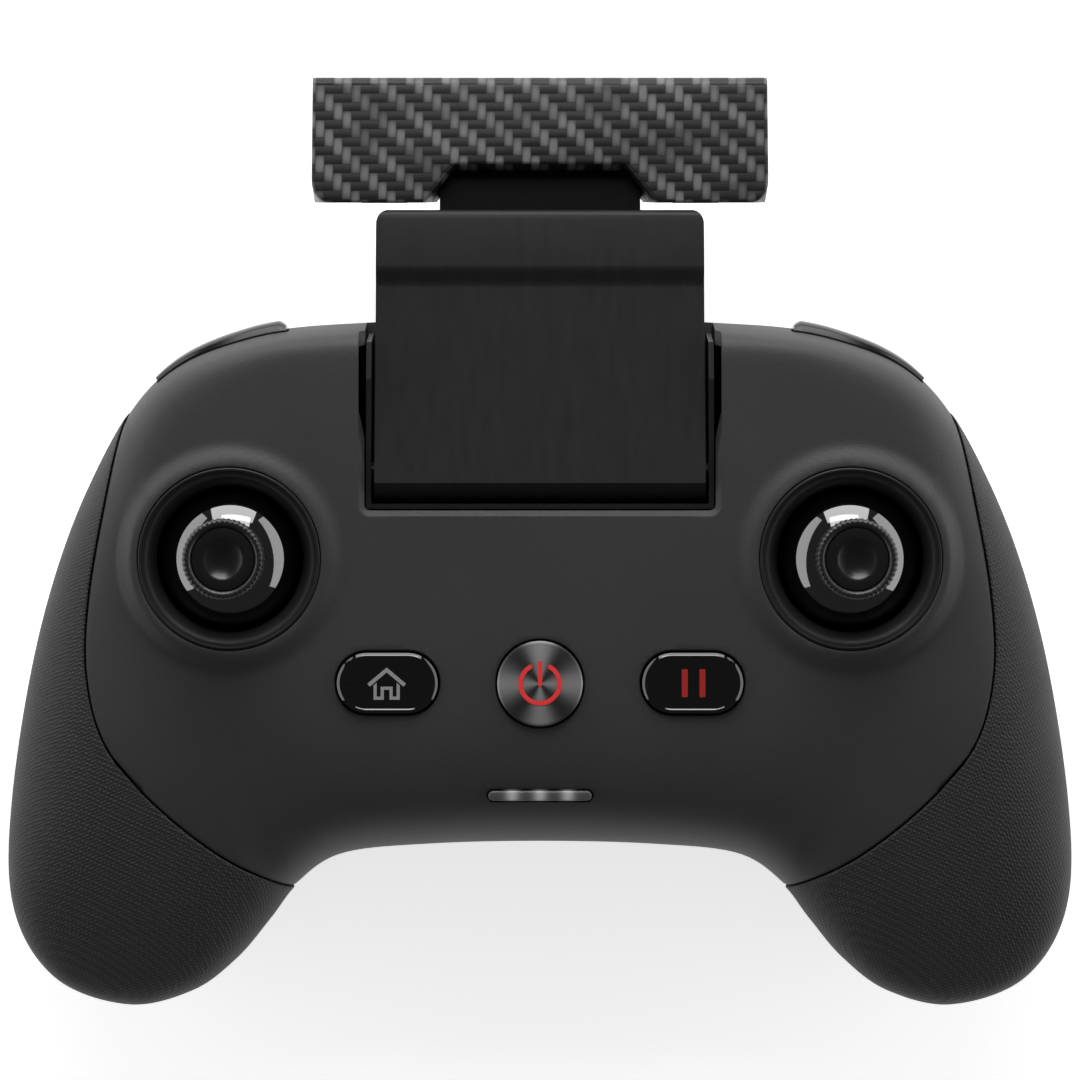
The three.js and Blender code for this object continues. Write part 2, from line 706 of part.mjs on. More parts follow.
function batteryPack() {
  const { half, y0, y1, z0, z1 } = BATTERY;
  const shape = roundedRect(0, (y0 + y1) / 2, 2 * half, y1 - y0, 3);
  return prism(shape, z0, z1, 3);
}

// ---------------------------------------------------------------- wheels and back keys
function dialWheel() {
  const { r, z0, z1, axleR } = WHEEL;
  const bore = axleR + RUN;
  const edge = 0.6;
  const tread = [[r - edge, z0], [r, z0 + edge], [r, z1 - edge], [r - edge, z1]];
  return turned([[bore, z0], ...tread, [bore, z1], [bore, z0]], ...wheelAt, 32);
}

const wheelAxle = () => rod(WHEEL.axleR, WHEEL.z0 - 1.35, WHEEL.z1 + 1.6, ...wheelAt, 12);

function wheelBracket() {
  const [x, y] = wheelAt;
  const { r, z0, z1, axleR } = WHEEL;
  const [nx, ny] = outlineNormal(WHEEL.u);
  const bar = (z) => {
    const reach = r + 3;
    const half = 2.6;
    const rows = [[-reach, -half], [half, -half], [half, half], [-reach, half]];
    const at = ([a, b]) => [x + nx * a - ny * b, y + ny * a + nx * b];
    return [prism(polygon(rows.map(at)), z, z + 1), at([-reach + 1, 0])];
  };
  const low = z0 - RUN - 1;
  const high = z1 + RUN;
  const [lowBar, post] = bar(low);
  const [highBar] = bar(high);
  const solid = join(lowBar, highBar, rod(1, low, high + 1, ...post, 10));
  return cut(solid, rod(axleR + GAP, low - 1, high + 2, x, y, 14));
}

function rearKey() {
  const [back] = surfaceSpan(REAR_KEY.x, REAR_KEY.y);
  const shape = rearKeyShape(0);
  const flange = rearKeyShape(1.2);
  const top = REAR_KEY.topZ;
  return prism(shape, back - REAR_KEY.proud, top, 4).add(prism(flange, top - 1, top, 4));
}

// ---------------------------------------------------------------- the phone holder
function plateProfile() {
  const { barrel, thick, top } = PLATE;
  const meet = THREE.MathUtils.radToDeg(Math.asin(thick / barrel));
  return [
    ...arcRows(0, 0, barrel, 180 - meet, 180 + meet, 8),
    [top - 1, -thick],
    [top, -thick + 1],
    [top, thick - 0.5],
    [top - 1.6, thick + LIP.rise],
    [LIP.to, thick + LIP.rise],
    [LIP.from, thick],
  ];
}

const sleeveRoom = box(
  -SLEEVE.half - RUN,
  SLEEVE.half + RUN,
  SLEEVE.low - RUN,
  SLEEVE.high + GAP,
  SLEEVE.back - RUN,
  SLEEVE.front + RUN,
);

function plateBlank() {
  const { half, top, corner, barrel } = PLATE;
  const profile = beam(plateProfile(), -half, half);
  const shape = new THREE.Shape();
  shape.moveTo(-half, -barrel - 1);
  shape.lineTo(half, -barrel - 1);
  shape.lineTo(half, top - corner);
  shape.absarc(half - corner, top - corner, corner, 0, Math.PI / 2);
  shape.lineTo(-half + corner, top);
  shape.absarc(-half + corner, top - corner, corner, Math.PI / 2, Math.PI);
  const bore = pin(HINGE_PIN.r + GAP, HINGE_PIN.from - 1, half + 1, 0, 0, 14);
  return cut(profile.intersect(prism(shape, -20, 20, 3)), sleeveRoom, both(bore), both(platePadRoom()));
}

// A rubber pad let into the top edge of the plate, and the room for it.
function platePadBlock(high, grow) {
  const half = PAD.half + grow;
  const low = PLATE.top + PAD.proud - PAD.thick - grow;
  return box(PAD.x - half, PAD.x + half, low, high, PAD.z0 - grow, PAD.z1 + grow);
}
const platePad = () => platePadBlock(PLATE.top + PAD.proud, 0);
const platePadRoom = () => platePadBlock(PLATE.top + 3, GAP);

// The clamp's pads lie along its sloping edge.
function clampPad(proud, deep, grow) {
  const [z0, z1] = [PAD.z0 - grow, PAD.z1 + grow];
  const rows = [
    [clampEdge(z0) - proud, z0],
    [clampEdge(z1) - proud, z1],
    [clampEdge(z1) + deep, z1],
    [clampEdge(z0) + deep, z0],
  ];
  return beam(rows.reverse(), PAD.clampX - PAD.half - grow, PAD.clampX + PAD.half + grow);
}

const frontOf = (solid) => solid.intersect(box(-BIG, BIG, -BIG, BIG, GAP / 2, BIG));
const backOf = (solid) => solid.intersect(box(-BIG, BIG, -BIG, BIG, -BIG, -GAP / 2));

function telescopicSleeve() {
  const { half, low, high, back, front, wall } = SLEEVE;
  const room = box(-ARM.half - RUN, ARM.half + RUN, low + wall, high + 1, back + wall, front - wall);
  return cut(box(-half, half, low, high, back, front), room);
}

const telescopicArm = () => box(-ARM.half, ARM.half, ARM.low, ARM.high, ARM.back, ARM.front);

// Height of the clamp's gripping edge, which runs up towards its back so that it hooks over the phone.
const clampEdge = (z) => CLAMP.low + (CLAMP.front - z) * CLAMP.slope;

function clampBlank() {
  const { half, low, high, back, front, corner } = CLAMP;
  const { topHalf, lowHalf, top } = CLAMP_NOTCH;
  const shape = new THREE.Shape();
  shape.moveTo(-half + corner, low);
  shape.lineTo(-lowHalf - 1.5, low);
  shape.quadraticCurveTo(-lowHalf, low, -lowHalf + 0.9, low + 1.1);
  shape.lineTo(-topHalf - 0.8, top - 1);
  shape.quadraticCurveTo(-topHalf, top, -topHalf + 1.2, top);
  shape.lineTo(topHalf - 1.2, top);
  shape.quadraticCurveTo(topHalf, top, topHalf + 0.8, top - 1);
  shape.lineTo(lowHalf - 0.9, low + 1.1);
  shape.quadraticCurveTo(lowHalf, low, lowHalf + 1.5, low);
  shape.lineTo(half - corner, low);
  shape.absarc(half - corner, low + corner, corner, -Math.PI / 2, 0);
  shape.lineTo(half, high - 0.9);
  shape.absarc(half - 0.9, high - 0.9, 0.9, 0, Math.PI / 2);
  shape.lineTo(-half + 0.9, high);
  shape.absarc(-half + 0.9, high - 0.9, 0.9, Math.PI / 2, Math.PI);
  shape.lineTo(-half, low + corner);
  shape.absarc(-half + corner, low + corner, corner, Math.PI, 1.5 * Math.PI);
  const roll = 2.6;
  const section = [
    [clampEdge(back), back],
    [high - 1.2, back],
    [high, back + 1.2],
    ...arcRows(high - roll, front - roll, roll, 0, 90, 5),
    [clampEdge(front), front],
  ];
  return prism(shape, back - 1, front + 1, 4).intersect(beam(section, -half - 1, half + 1));
}

function clampHousing() {
  const { half, low, high, back, front, wall } = CLAMP;
  const armHalf = ARM.half + GAP;
  const armRoom = box(-armHalf, armHalf, SLEEVE.high, ARM.high + GAP, ARM.back - GAP, ARM.front + GAP);
  const roomTop = high - wall - 1.2;
  const boardRoom = box(BOARD_ROOM_X, half - wall, low + 7, roomTop, back + wall, front - wall - 0.6);
  const padRoom = clampPad(3, PAD.thick - PAD.proud + GAP, GAP);
  return cut(clampBlank(), sleeveRoom, armRoom, both(boardRoom), both(padRoom));
}

const antennaBoard = () => box(BOARD_ROOM_X + 1.2, CLAMP.half - CLAMP.wall - 1, 56, 67.4, 0.6, 1.6);

// The tray that carries the hinge pins and lines the bay of the front shell.
function holderCradle() {
  const outer = bayRoom(-GAP);
  const inner = bayRoom(-GAP - BAY.wall);
  const floorDrop = leaned(box(-BIG, BIG, -BIG, BIG, -BIG, BAY.floor + GAP + BAY.wall));
  const tray = cut(outer, inner).add(outer.intersect(floorDrop));
  const bore = leaned(both(pin(HINGE_PIN.r + GAP, HINGE_PIN.from, BIG, 0, 0, 14)));
  const below = bodySolid(BAY.depth, 1, 5);
  return cut(tray.intersect(below), bore);
}

const hingePin = () => pin(HINGE_PIN.r, HINGE_PIN.from, HINGE_PIN.to, 0, 0, 14);

// ---------------------------------------------------------------- assembly
add("front_shell", frontShell(), M.shell);
add("rear_shell", rearShell(), M.shell);
addPair("grip_cover", gripCover(), M.grip);
SCREWS.forEach(([x, y], i) => addPair(`housing_screw_${i + 1}`, housingScrew(x, y), M.steel));

addPair("stick_collar", stickCollar(), M.bezel);
addPair("gimbal_housing", gimbalHousing(), M.frame);
addPair("gimbal_sensor", gimbalSensor(), M.board);
addPair("gimbal_ring", gimbalRing(), M.frame);
addPair("stick_dome", stickDome(), M.gloss);
addPair("stick_stem", stickStem(), M.steel);
addPair("stick_cap", stickCap(), M.bezel);

add("home_button", faceButton(keyShape(-KEY.x, 0), keyShape(-KEY.x, FLANGE.lip)), M.gloss);
add("pause_button", faceButton(keyShape(KEY.x, 0), keyShape(KEY.x, FLANGE.lip)), M.gloss);
add("power_button", faceButton(disc(POWER.r), disc(POWER.r + FLANGE.lip)), M.spun);
add("keypad", keypad(), M.rubber);
add("main_board", cut(prism(boardShape(0), BOARD.z0, BOARD.z1, 3), ...postHoles), M.board);
add("light_pipe", lightPipe(), M.light);
add("battery_pack", batteryPack(), M.cell);
add("speaker", rod(SPEAKER.r, SPEAKER.z0, SPEAKER.z1, 0, SPEAKER.y, 20), M.frame);
add("usb_port", usbPort(), M.steel);
add("charge_board", chargeBoard(), M.board);

addPair("shoulder_button", shoulderBar(0, 0), M.gloss);
addPair("dial_wheel", dialWheel(), M.bezel);
addPair("wheel_axle", wheelAxle(), M.steel);
addPair("wheel_bracket", wheelBracket(), M.frame);
addPair("rear_button", rearKey(), M.bezel);

add("holder_cradle", holderCradle(), M.bezel);
addPair("hinge_pin", hingePin(), M.steel, holder);
add("plate_front", frontOf(plateBlank()), M.plate, holder);
add("plate_back", backOf(plateBlank()), M.plate, holder);
addPair("plate_pad", platePad(), M.rubber, holder);
add("telescopic_sleeve", telescopicSleeve(), M.plate, holder);
add("telescopic_arm", telescopicArm(), M.steel, holder);
add("clamp_front", frontOf(clampHousing()), M.carbon, holder);
add("clamp_back", backOf(clampHousing()), M.plate, holder);
addPair("clamp_pad", clampPad(PAD.proud, PAD.thick - PAD.proud, 0), M.rubber, holder);
addPair("antenna_board", antennaBoard(), M.board, holder);

export default controller;
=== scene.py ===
"""Looks of a hand-held radio transmitter controller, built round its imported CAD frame.

The controller lies on its back: +X is its right hand side, +Y runs up to the phone holder and +Z points out
of its face.
Shapes are drawn in millimetres in the CAD design's own frame; to_world() turns them into scene metres.
"""
import math

import bmesh
import bpy
import numpy as np
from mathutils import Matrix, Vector
from mathutils.bvhtree import BVHTree


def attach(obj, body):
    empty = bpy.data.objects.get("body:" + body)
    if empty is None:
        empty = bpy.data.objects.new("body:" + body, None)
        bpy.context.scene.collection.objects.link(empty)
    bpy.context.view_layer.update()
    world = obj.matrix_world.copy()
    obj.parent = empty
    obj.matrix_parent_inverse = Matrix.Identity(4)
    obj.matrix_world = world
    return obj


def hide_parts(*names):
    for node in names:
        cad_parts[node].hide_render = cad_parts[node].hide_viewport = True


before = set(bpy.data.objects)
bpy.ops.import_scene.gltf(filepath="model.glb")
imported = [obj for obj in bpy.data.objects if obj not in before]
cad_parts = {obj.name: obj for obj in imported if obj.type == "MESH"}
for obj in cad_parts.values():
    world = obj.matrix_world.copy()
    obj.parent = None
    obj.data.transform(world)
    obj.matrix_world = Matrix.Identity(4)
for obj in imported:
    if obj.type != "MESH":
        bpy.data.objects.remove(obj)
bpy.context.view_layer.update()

MM = 0.001
SHIFT_Y = 0.53  # the design's own origin lies this far along Y in the frame
WELD = 2e-6
SHARP = 35  # edges that turn by more degrees than this stay sharp
RAYS_FROM_ABOVE, RAYS_FROM_BELOW = 90, -20

# ---------------------------------------------------------------- driving dimensions, as in the CAD
PARTING_Z = 25.0
WALL = 2.2
GRIP_PROUD = 0.27
GAP_HALF = 0.15
SEAM_ROUND = 0.35
REAR_ROUND = 24.0
REAR_CRISP = 3.6
OUTLINE = np.array([
    [0, 39.4, 60, 9],
    [31, 38.9, 60, 9],
    [52, 36.5, 56, 8],
    [69, 28.3, 45, 5],
    [81, 9, 34, 3.4],
    [89.5, -16, 30, 3],
    [94.6, -46, 26, 2.7],
    [94.4, -66, 25, 2.6],
    [87, -78.6, 24, 2.6],
    [74, -83.4, 24, 2.6],
    [62.5, -80.9, 24, 2.6],
    [54.6, -75.1, 24, 2.7],
    [48.6, -68, 24, 2.8],
    [43.6, -61.7, 24, 3],
    [35.5, -56.5, 25, 3.6],
    [20, -54.8, 26, 4],
    [0, -54.3, 26, 4],
], dtype=float)
SPINE = np.array([
    [0, -7],
    [25, -7],
    [44, -9],
    [57, -15],
    [65, -26],
    [69.5, -40],
    [71.5, -55],
], dtype=float)
GRIP_SEAM = np.array([
    [70.2, 34],
    [73.4, 24.6],
    [76.6, 8],
    [79.6, -10],
    [80, -24],
    [76.6, -36.5],
    [68, -46.8],
    [56, -56.4],
    [44, -62.4],
    [35, -66.5],
], dtype=float)
HALF = len(OUTLINE) - 1
TIP = len(SPINE) - 1

STICK_X, STICK_Y, PIVOT_Z = 54.6, -3.5, 34.4
DOME_R, WELL_R, RING_R, RING_TOP = 14.5, 16.1, 20.2, 46.2
THROAT_R, CAP_R, CAP_TOP, STEM_R = 12.9, 7.1, 61.9, 2.4
CAP_FACE_R, DIMPLE_R, DIMPLE_DEPTH = 5.5, 3.5, 1.05
COLLAR_DEPTH, COLLAR_BEAD = 4.0, 0.3
CAP_RIBS, WHEEL_RIBS = 48, 36
KEY_X, KEY_Y, KEY_LENGTH, KEY_WIDTH = 26.8, -25.3, 17.8, 10.7
POWER_R, POWER_Y = 7.5, -25.4
BUTTON_TOP, BUTTON_FOOT, KEY_SUNK = 46.25, 41.0, 0.14
LIGHT_Y, LIGHT_LENGTH, LIGHT_WIDTH = -45.2, 18.5, 2.0
LAMP_PITCH, LAMP_SPREAD = 4.9, 1.1
RUN = 0.35
HOLDER_Y, HOLDER_Z, HOLDER_LEAN = 12.0, 40.5, math.radians(-12)
PLATE_HALF, PLATE_TOP, PLATE_THICK, PLATE_BARREL, PLATE_CORNER = 29.1, 46.7, 4.5, 5.5, 3.0
LIP_FROM, LIP_TO, LIP_RISE = 33.0, 35.5, 1.3
PIN_BORE_R = 1.9
CLAMP_HALF, CLAMP_LOW, CLAMP_HIGH, CLAMP_BACK, CLAMP_FRONT = 40.65, 47.5, 71.45, -4.55, 5.95
CLAMP_SLOPE, CLAMP_ROLL = 0.3, 2.6
NOTCH_TOP_HALF, NOTCH_LOW_HALF, NOTCH_TOP = 15.3, 20.9, 54.6
PLATE_PAD_X, CLAMP_PAD_X, PAD_HALF, PAD_Z0, PAD_Z1 = 23.6, 27.8, 4.0, -2.4, 2.8
SLEEVE_ROOM = (-18.25, 18.25, 3.65, 54.6, -3.05, 2.85)  # all six sides, as x, y and z from and to
SLEEVE = (-17.88, 17.88, 4.02, 54.28, -2.68, 2.48)
SLEEVE_BORE = (-16.55, 16.55, 5, 56, -1.7, 1.5)
ARM = (-16.18, 16.18, 6.02, 61.68, -1.28, 1.08)
ARM_ROOM = (-16.5, 16.5, 54.0, 62.0, -1.6, 1.4)
BAY_HALF, BAY_LOW, BAY_FLOOR = 30.9, 5.0, -6.9
WHEEL_X, WHEEL_Y, WHEEL_R, WHEEL_Z0, WHEEL_Z1, WHEEL_BORE = 56.2207, 25.2926, 9.0, 11.8, 17.2, 1.65
SHOULDER_FROM, SHOULDER_TO, SHOULDER_Z0, SHOULDER_Z1 = 1.64, 2.97, 27.2, 35.8
SHOULDER_OUT, SHOULDER_DEPTH, SHOULDER_TRAVEL = 1.4, 2.4, 0.8
SHOULDER_CREST, SHOULDER_FLANK = -0.9, 4.4  # where its top ends, and how far the rounded flank falls
POCKET_OUT = 6.0  # how far the cutter of its pocket reaches past the key
REAR_KEY_X, REAR_KEY_Y, REAR_KEY_LENGTH, REAR_KEY_WIDTH = 43.0, 3.0, 13.0, 7.5
USB_Z, USB_WIDTH, USB_HEIGHT = 18.6, 9.0, 3.3
SPEAKER_Y, SPEAKER_SLOTS, SPEAKER_PITCH = -24.0, 5, 2.8
SCREWS = ((22, -44), (37.6, 29.5), (61, -34))
SCREW_SINK, SCREW_HEAD, SCREW_TIP, BOSS_R = 0.9, 1.8, 33, 3.2
SHANK_HOLE_R, SHANK_HOLE_TOP = 1.4, 33.3
SIDES = (("right", 1), ("left", -1))


# ---------------------------------------------------------------- meshes
def to_world(points):
    return (np.asarray(points, dtype=float) + np.array([0, SHIFT_Y, 0])) * MM


def from_holder(points):
    """Points drawn in the holder's frame, y up the holder and z out of its front, as design points."""
    points = np.asarray(points, dtype=float)
    c, s = math.cos(HOLDER_LEAN), math.sin(HOLDER_LEAN)
    y = points[..., 1] * c - points[..., 2] * s + HOLDER_Y
    z = points[..., 1] * s + points[..., 2] * c + HOLDER_Z
    return np.stack([points[..., 0], y, z], axis=-1)


class Skin:
    """Grids of points and flat caps that are welded into one closed body."""

    def __init__(self):
        self.points = []
        self.faces = []

    def grid(self, rows):
        rows = np.asarray(rows, dtype=float)
        count, width = rows.shape[:2]
        index = np.arange(count * width).reshape(count, width) + len(self.points)
        quads = np.stack([index[:-1, :-1], index[:-1, 1:], index[1:, 1:], index[1:, :-1]], axis=-1)
        self.points.extend(rows.reshape(-1, 3).tolist())
        self.faces.extend(quads.reshape(-1, 4).tolist())

    def cap(self, loop):
        start = len(self.points)
        self.points.extend(np.asarray(loop, dtype=float).tolist())
        self.faces.append(list(range(start, start + len(loop))))

    def loft(self, loops):
        """Skins closed loops of equal length and caps both ends."""
        loops = np.asarray(loops, dtype=float)
        self.grid(np.concatenate([loops, loops[:, :1]], axis=1))
        self.cap(loops[0])
        self.cap(loops[-1])
        return self

    def piece(self, name, mirror=False, sharp=SHARP):
        """The welded body as an object, seen in a mirror for the left hand side when asked."""
        points = np.array(self.points)
        if mirror:
            points = points * np.array([-1, 1, 1])
        data = bpy.data.meshes.new(name)
        data.from_pydata(to_world(points).tolist(), [], self.faces)
        bm = bmesh.new()
        bm.from_mesh(data)
        bmesh.ops.remove_doubles(bm, verts=bm.verts, dist=WELD)
        bmesh.ops.recalc_face_normals(bm, faces=bm.faces)
        if bm.calc_volume(signed=True) < 0:
            bmesh.ops.reverse_faces(bm, faces=bm.faces)
        bm.to_mesh(data)
        bm.free()
        piece = bpy.data.objects.new(name, data)
        bpy.context.scene.collection.objects.link(piece)
        shade(piece, sharp)
        return piece


def shade(piece, sharp):
    """Smooth shading that keeps edges sharper than the angle, in degrees."""
    data = piece.data
    data.polygons.foreach_set("use_smooth", [True] * len(data.polygons))
    data.set_sharp_from_angle(angle=math.radians(sharp))


def combine(piece, others, operation):
    """Applies a boolean of the other pieces to the piece and removes them."""
    for other in others:
        step = piece.modifiers.new("step", "BOOLEAN")
        step.operation = operation
        step.solver = "MANIFOLD"
        step.object = other
    graph = bpy.context.evaluated_depsgraph_get()
    data = bpy.data.meshes.new_from_object(piece.evaluated_get(graph))
    piece.modifiers.clear()
    piece.data = data
    for other in others:
        bpy.data.objects.remove(other)
    shade(piece, SHARP)
    return piece


# ---------------------------------------------------------------- plane curves
def tidy(points):
    kept = [points[0]]
    for point in points[1:]:
        if math.dist(point, kept[-1]) > 1e-3:
            kept.append(point)
    if math.dist(kept[0], kept[-1]) < 1e-3:
        kept.pop()
    return np.array(kept, dtype=float)


def rounded(x0, x1, y0, y1, r, arc):
    """An anticlockwise rectangle with rounded corners."""
    points = []
    corners = ((x1 - r, y1 - r, 0), (x0 + r, y1 - r, 90), (x0 + r, y0 + r, 180), (x1 - r, y0 + r, 270))
    for cx, cy, start in corners:
        for k in range(arc + 1):
            a = math.radians(start + 90 * k / arc)
            points.append((cx + r * math.cos(a), cy + r * math.sin(a)))
    return tidy(points)


def pill(cx, cy, w, h, arc=16):
    return rounded(cx - w / 2, cx + w / 2, cy - h / 2, cy + h / 2, min(w, h) / 2 - 0.001, arc)


def circle(cx, cy, r, steps=96):
    a = np.arange(steps) / steps * 2 * math.pi
    return np.stack([cx + r * np.cos(a), cy + r * np.sin(a)], axis=1)


def filleted(points, radii, arc):
    """An anticlockwise polygon with each corner rounded by its own radius."""
    out = []
    n = len(points)
    for i in range(n):
        p, a, b = (np.array(points[k % n], dtype=float) for k in (i, i - 1, i + 1))
        if radii[i] == 0:
            out.append(tuple(p))
            continue
        u = (a - p) / np.linalg.norm(a - p)
        v = (b - p) / np.linalg.norm(b - p)
        half = math.acos(float(np.clip(np.dot(u, v), -1, 1))) / 2
        run = radii[i] / math.tan(half)
        for k in range(arc + 1):
            t = k / arc
            out.append(tuple((1 - t) ** 2 * (p + u * run) + 2 * t * (1 - t) * p + t ** 2 * (p + v * run)))
    return tidy(out)


def grown(loop, offset):
    """An anticlockwise loop with every corner moved out by the offset."""
    d = np.roll(loop, -1, axis=0) - loop
    d /= np.linalg.norm(d, axis=1)[:, None]
    n = np.stack([d[:, 1], -d[:, 0]], axis=1)
    before = np.roll(n, 1, axis=0)
    middle = n + before
    scale = 2 / np.sum(middle ** 2, axis=1)
    return loop + middle * scale[:, None] * offset


def level(loop, z):
    return np.column_stack([loop, np.full(len(loop), float(z))])


def prism(loop, steps):
    """A body lofted over (offset, z) steps of a plan loop."""
    return Skin().loft([level(grown(loop, offset) if offset else loop, z) for offset, z in steps])


def block(x0, x1, y0, y1, z0, z1):
    loop = np.array([(x1, y1), (x0, y1), (x0, y0), (x1, y0)], dtype=float)
    return prism(loop, [(0, z0), (0, z1)])


def rounded_steps(z0, z1, low, high, steps):
    """Steps of a prism whose bottom and top edges are rounded by the given radii."""
    rows = []
    for k in range(steps + 1 if low else 1):
        a = math.pi / 2 * k / steps
        rows.append((-low * (1 - math.sin(a)), z0 + low * (1 - math.cos(a))))
    for k in range(steps + 1 if high else 1):
        a = math.pi / 2 * k / steps
        rows.append((-high * (1 - math.cos(a)), z1 - high * (1 - math.sin(a))))
    return rows


def lathe(profile, x, y, steps):
    """A closed profile of (r, z) rows turned about an upright axis."""
    profile = np.array(list(profile) + [profile[0]], dtype=float)
    a = np.arange(steps + 1) / steps * 2 * math.pi
    a[-1] = 0
    r, z = profile.T
    skin = Skin()
    skin.grid([np.column_stack([x + r * math.cos(t), y + r * math.sin(t), z]) for t in a])
    return skin


def arc_rows(cx, cz, r, start, stop, steps):
    """Points along an arc whose ends are given in degrees."""
    turns = [math.radians(start + (stop - start) * k / steps) for k in range(steps + 1)]
    return [(cx + r * math.cos(a), cz + r * math.sin(a)) for a in turns]


# ---------------------------------------------------------------- the body surface
def catmull(rows, u):
    """A Catmull-Rom curve through rows, at each u; u counts the rows."""
    rows = np.vstack([2 * rows[0] - rows[1], rows, 2 * rows[-1] - rows[-2]])
    u = np.atleast_1d(np.asarray(u, dtype=float))
    i = np.clip(np.floor(u).astype(int), 0, len(rows) - 4)
    t = (u - i)[:, None]
    a, b, c, d = rows[i], rows[i + 1], rows[i + 2], rows[i + 3]
    return b + 0.5 * t * (c - a + t * (2 * a - 5 * b + 4 * c - d + t * (3 * (b - c) + d - a)))


def mirrored(rows):
    left = rows[1:][::-1].copy()
    left[:, 0] *= -1
    return np.vstack([left, rows])


RING = mirrored(OUTLINE)
RING_SPINE = mirrored(SPINE)
CLOSED_RING = np.vstack([RING[-2], RING, RING[1]])


def outline_at(u):
    return catmull(CLOSED_RING, np.asarray(u, dtype=float) + HALF + 1)


def outline_normal(u):
    u = np.atleast_1d(np.asarray(u, dtype=float))
    d = outline_at(u + 0.01)[:, :2] - outline_at(u - 0.01)[:, :2]
    d /= np.linalg.norm(d, axis=1)[:, None]
    return np.stack([-d[:, 1], d[:, 0]], axis=1)


def rib_foot(u):
    u = np.atleast_1d(np.asarray(u, dtype=float))
    return catmull(RING_SPINE, np.where(u <= TIP, u, np.where(u < HALF - TIP, TIP, HALF - u)) + TIP)


def smooth_step(t):
    return t * t * (3 - 2 * t)


def hill(x, y, cx, cy, rx, ry, power):
    return np.exp(-(np.abs((x - cx) / rx) ** power + np.abs((y - cy) / ry) ** power))


def face_height(x, y):
    return 20.5 - 1.1 * (x / 60) ** 2 - 8 * (np.maximum(0, -28 - y) / 50) ** 2


def back_depth(x, y):
    return 17 + 9.6 * hill(x, y, 0, 14, 50, 19, 4) + 9.4 * hill(np.abs(x), y, 71, -46, 24, 32, 2)


def ring_blend(x, y):
    """1 on the raised ring round a stick well, falling smoothly to 0 at its foot."""
    d = np.hypot(np.abs(x) - STICK_X, y - STICK_Y)
    return smooth_step(np.clip((RING_R - d) / (RING_R - WELL_R - 0.9), 0, 1))


def body_point(u, share, side, skin=0.0):
    """Points of the body surface on ribs u, at plan shares of the way in along each rib."""
    u = np.asarray(u, dtype=float)
    row = outline_at(u)
    p, roundness, crisp = row[:, :2], row[:, 2:3], row[:, 3:4]
    s = rib_foot(u)
    across = np.abs(np.sum((p - s) * outline_normal(u), axis=1))[:, None]
    x = p[:, 0:1] + (s[:, 0:1] - p[:, 0:1]) * share
    y = p[:, 1:2] + (s[:, 1:2] - p[:, 1:2]) * share
    r = np.clip((share - skin / across) / (1 - skin / across), 0, 1)
    front = side > 0
    height = (face_height(x, y) if front else back_depth(x, y)) - skin
    power = crisp if front else REAR_CRISP
    reach = 2 * (roundness if front else REAR_ROUND) * (across - skin) * r
    wall = np.sqrt(reach) / np.cos(np.minimum(r, 0.99999) * math.pi / 2)
    z = (height ** -power + np.maximum(wall, 1e-6) ** -power) ** (-1 / power)
    z = np.where(wall < 1e-5, 0, z)
    if front:
        z = z + (RING_TOP - PARTING_Z - skin - z) * ring_blend(x, y) * (z > 5)
    z = PARTING_Z + side * z
    if not front:
        z = np.maximum(z, np.maximum(skin, 0))
    return np.stack([x, y, z], axis=-1)


def across_at(u):
    return np.abs(np.sum((outline_at(u)[:, :2] - rib_foot(u)) * outline_normal(u), axis=1))


def length_at(u):
    return np.linalg.norm(outline_at(u)[:, :2] - rib_foot(u), axis=1)


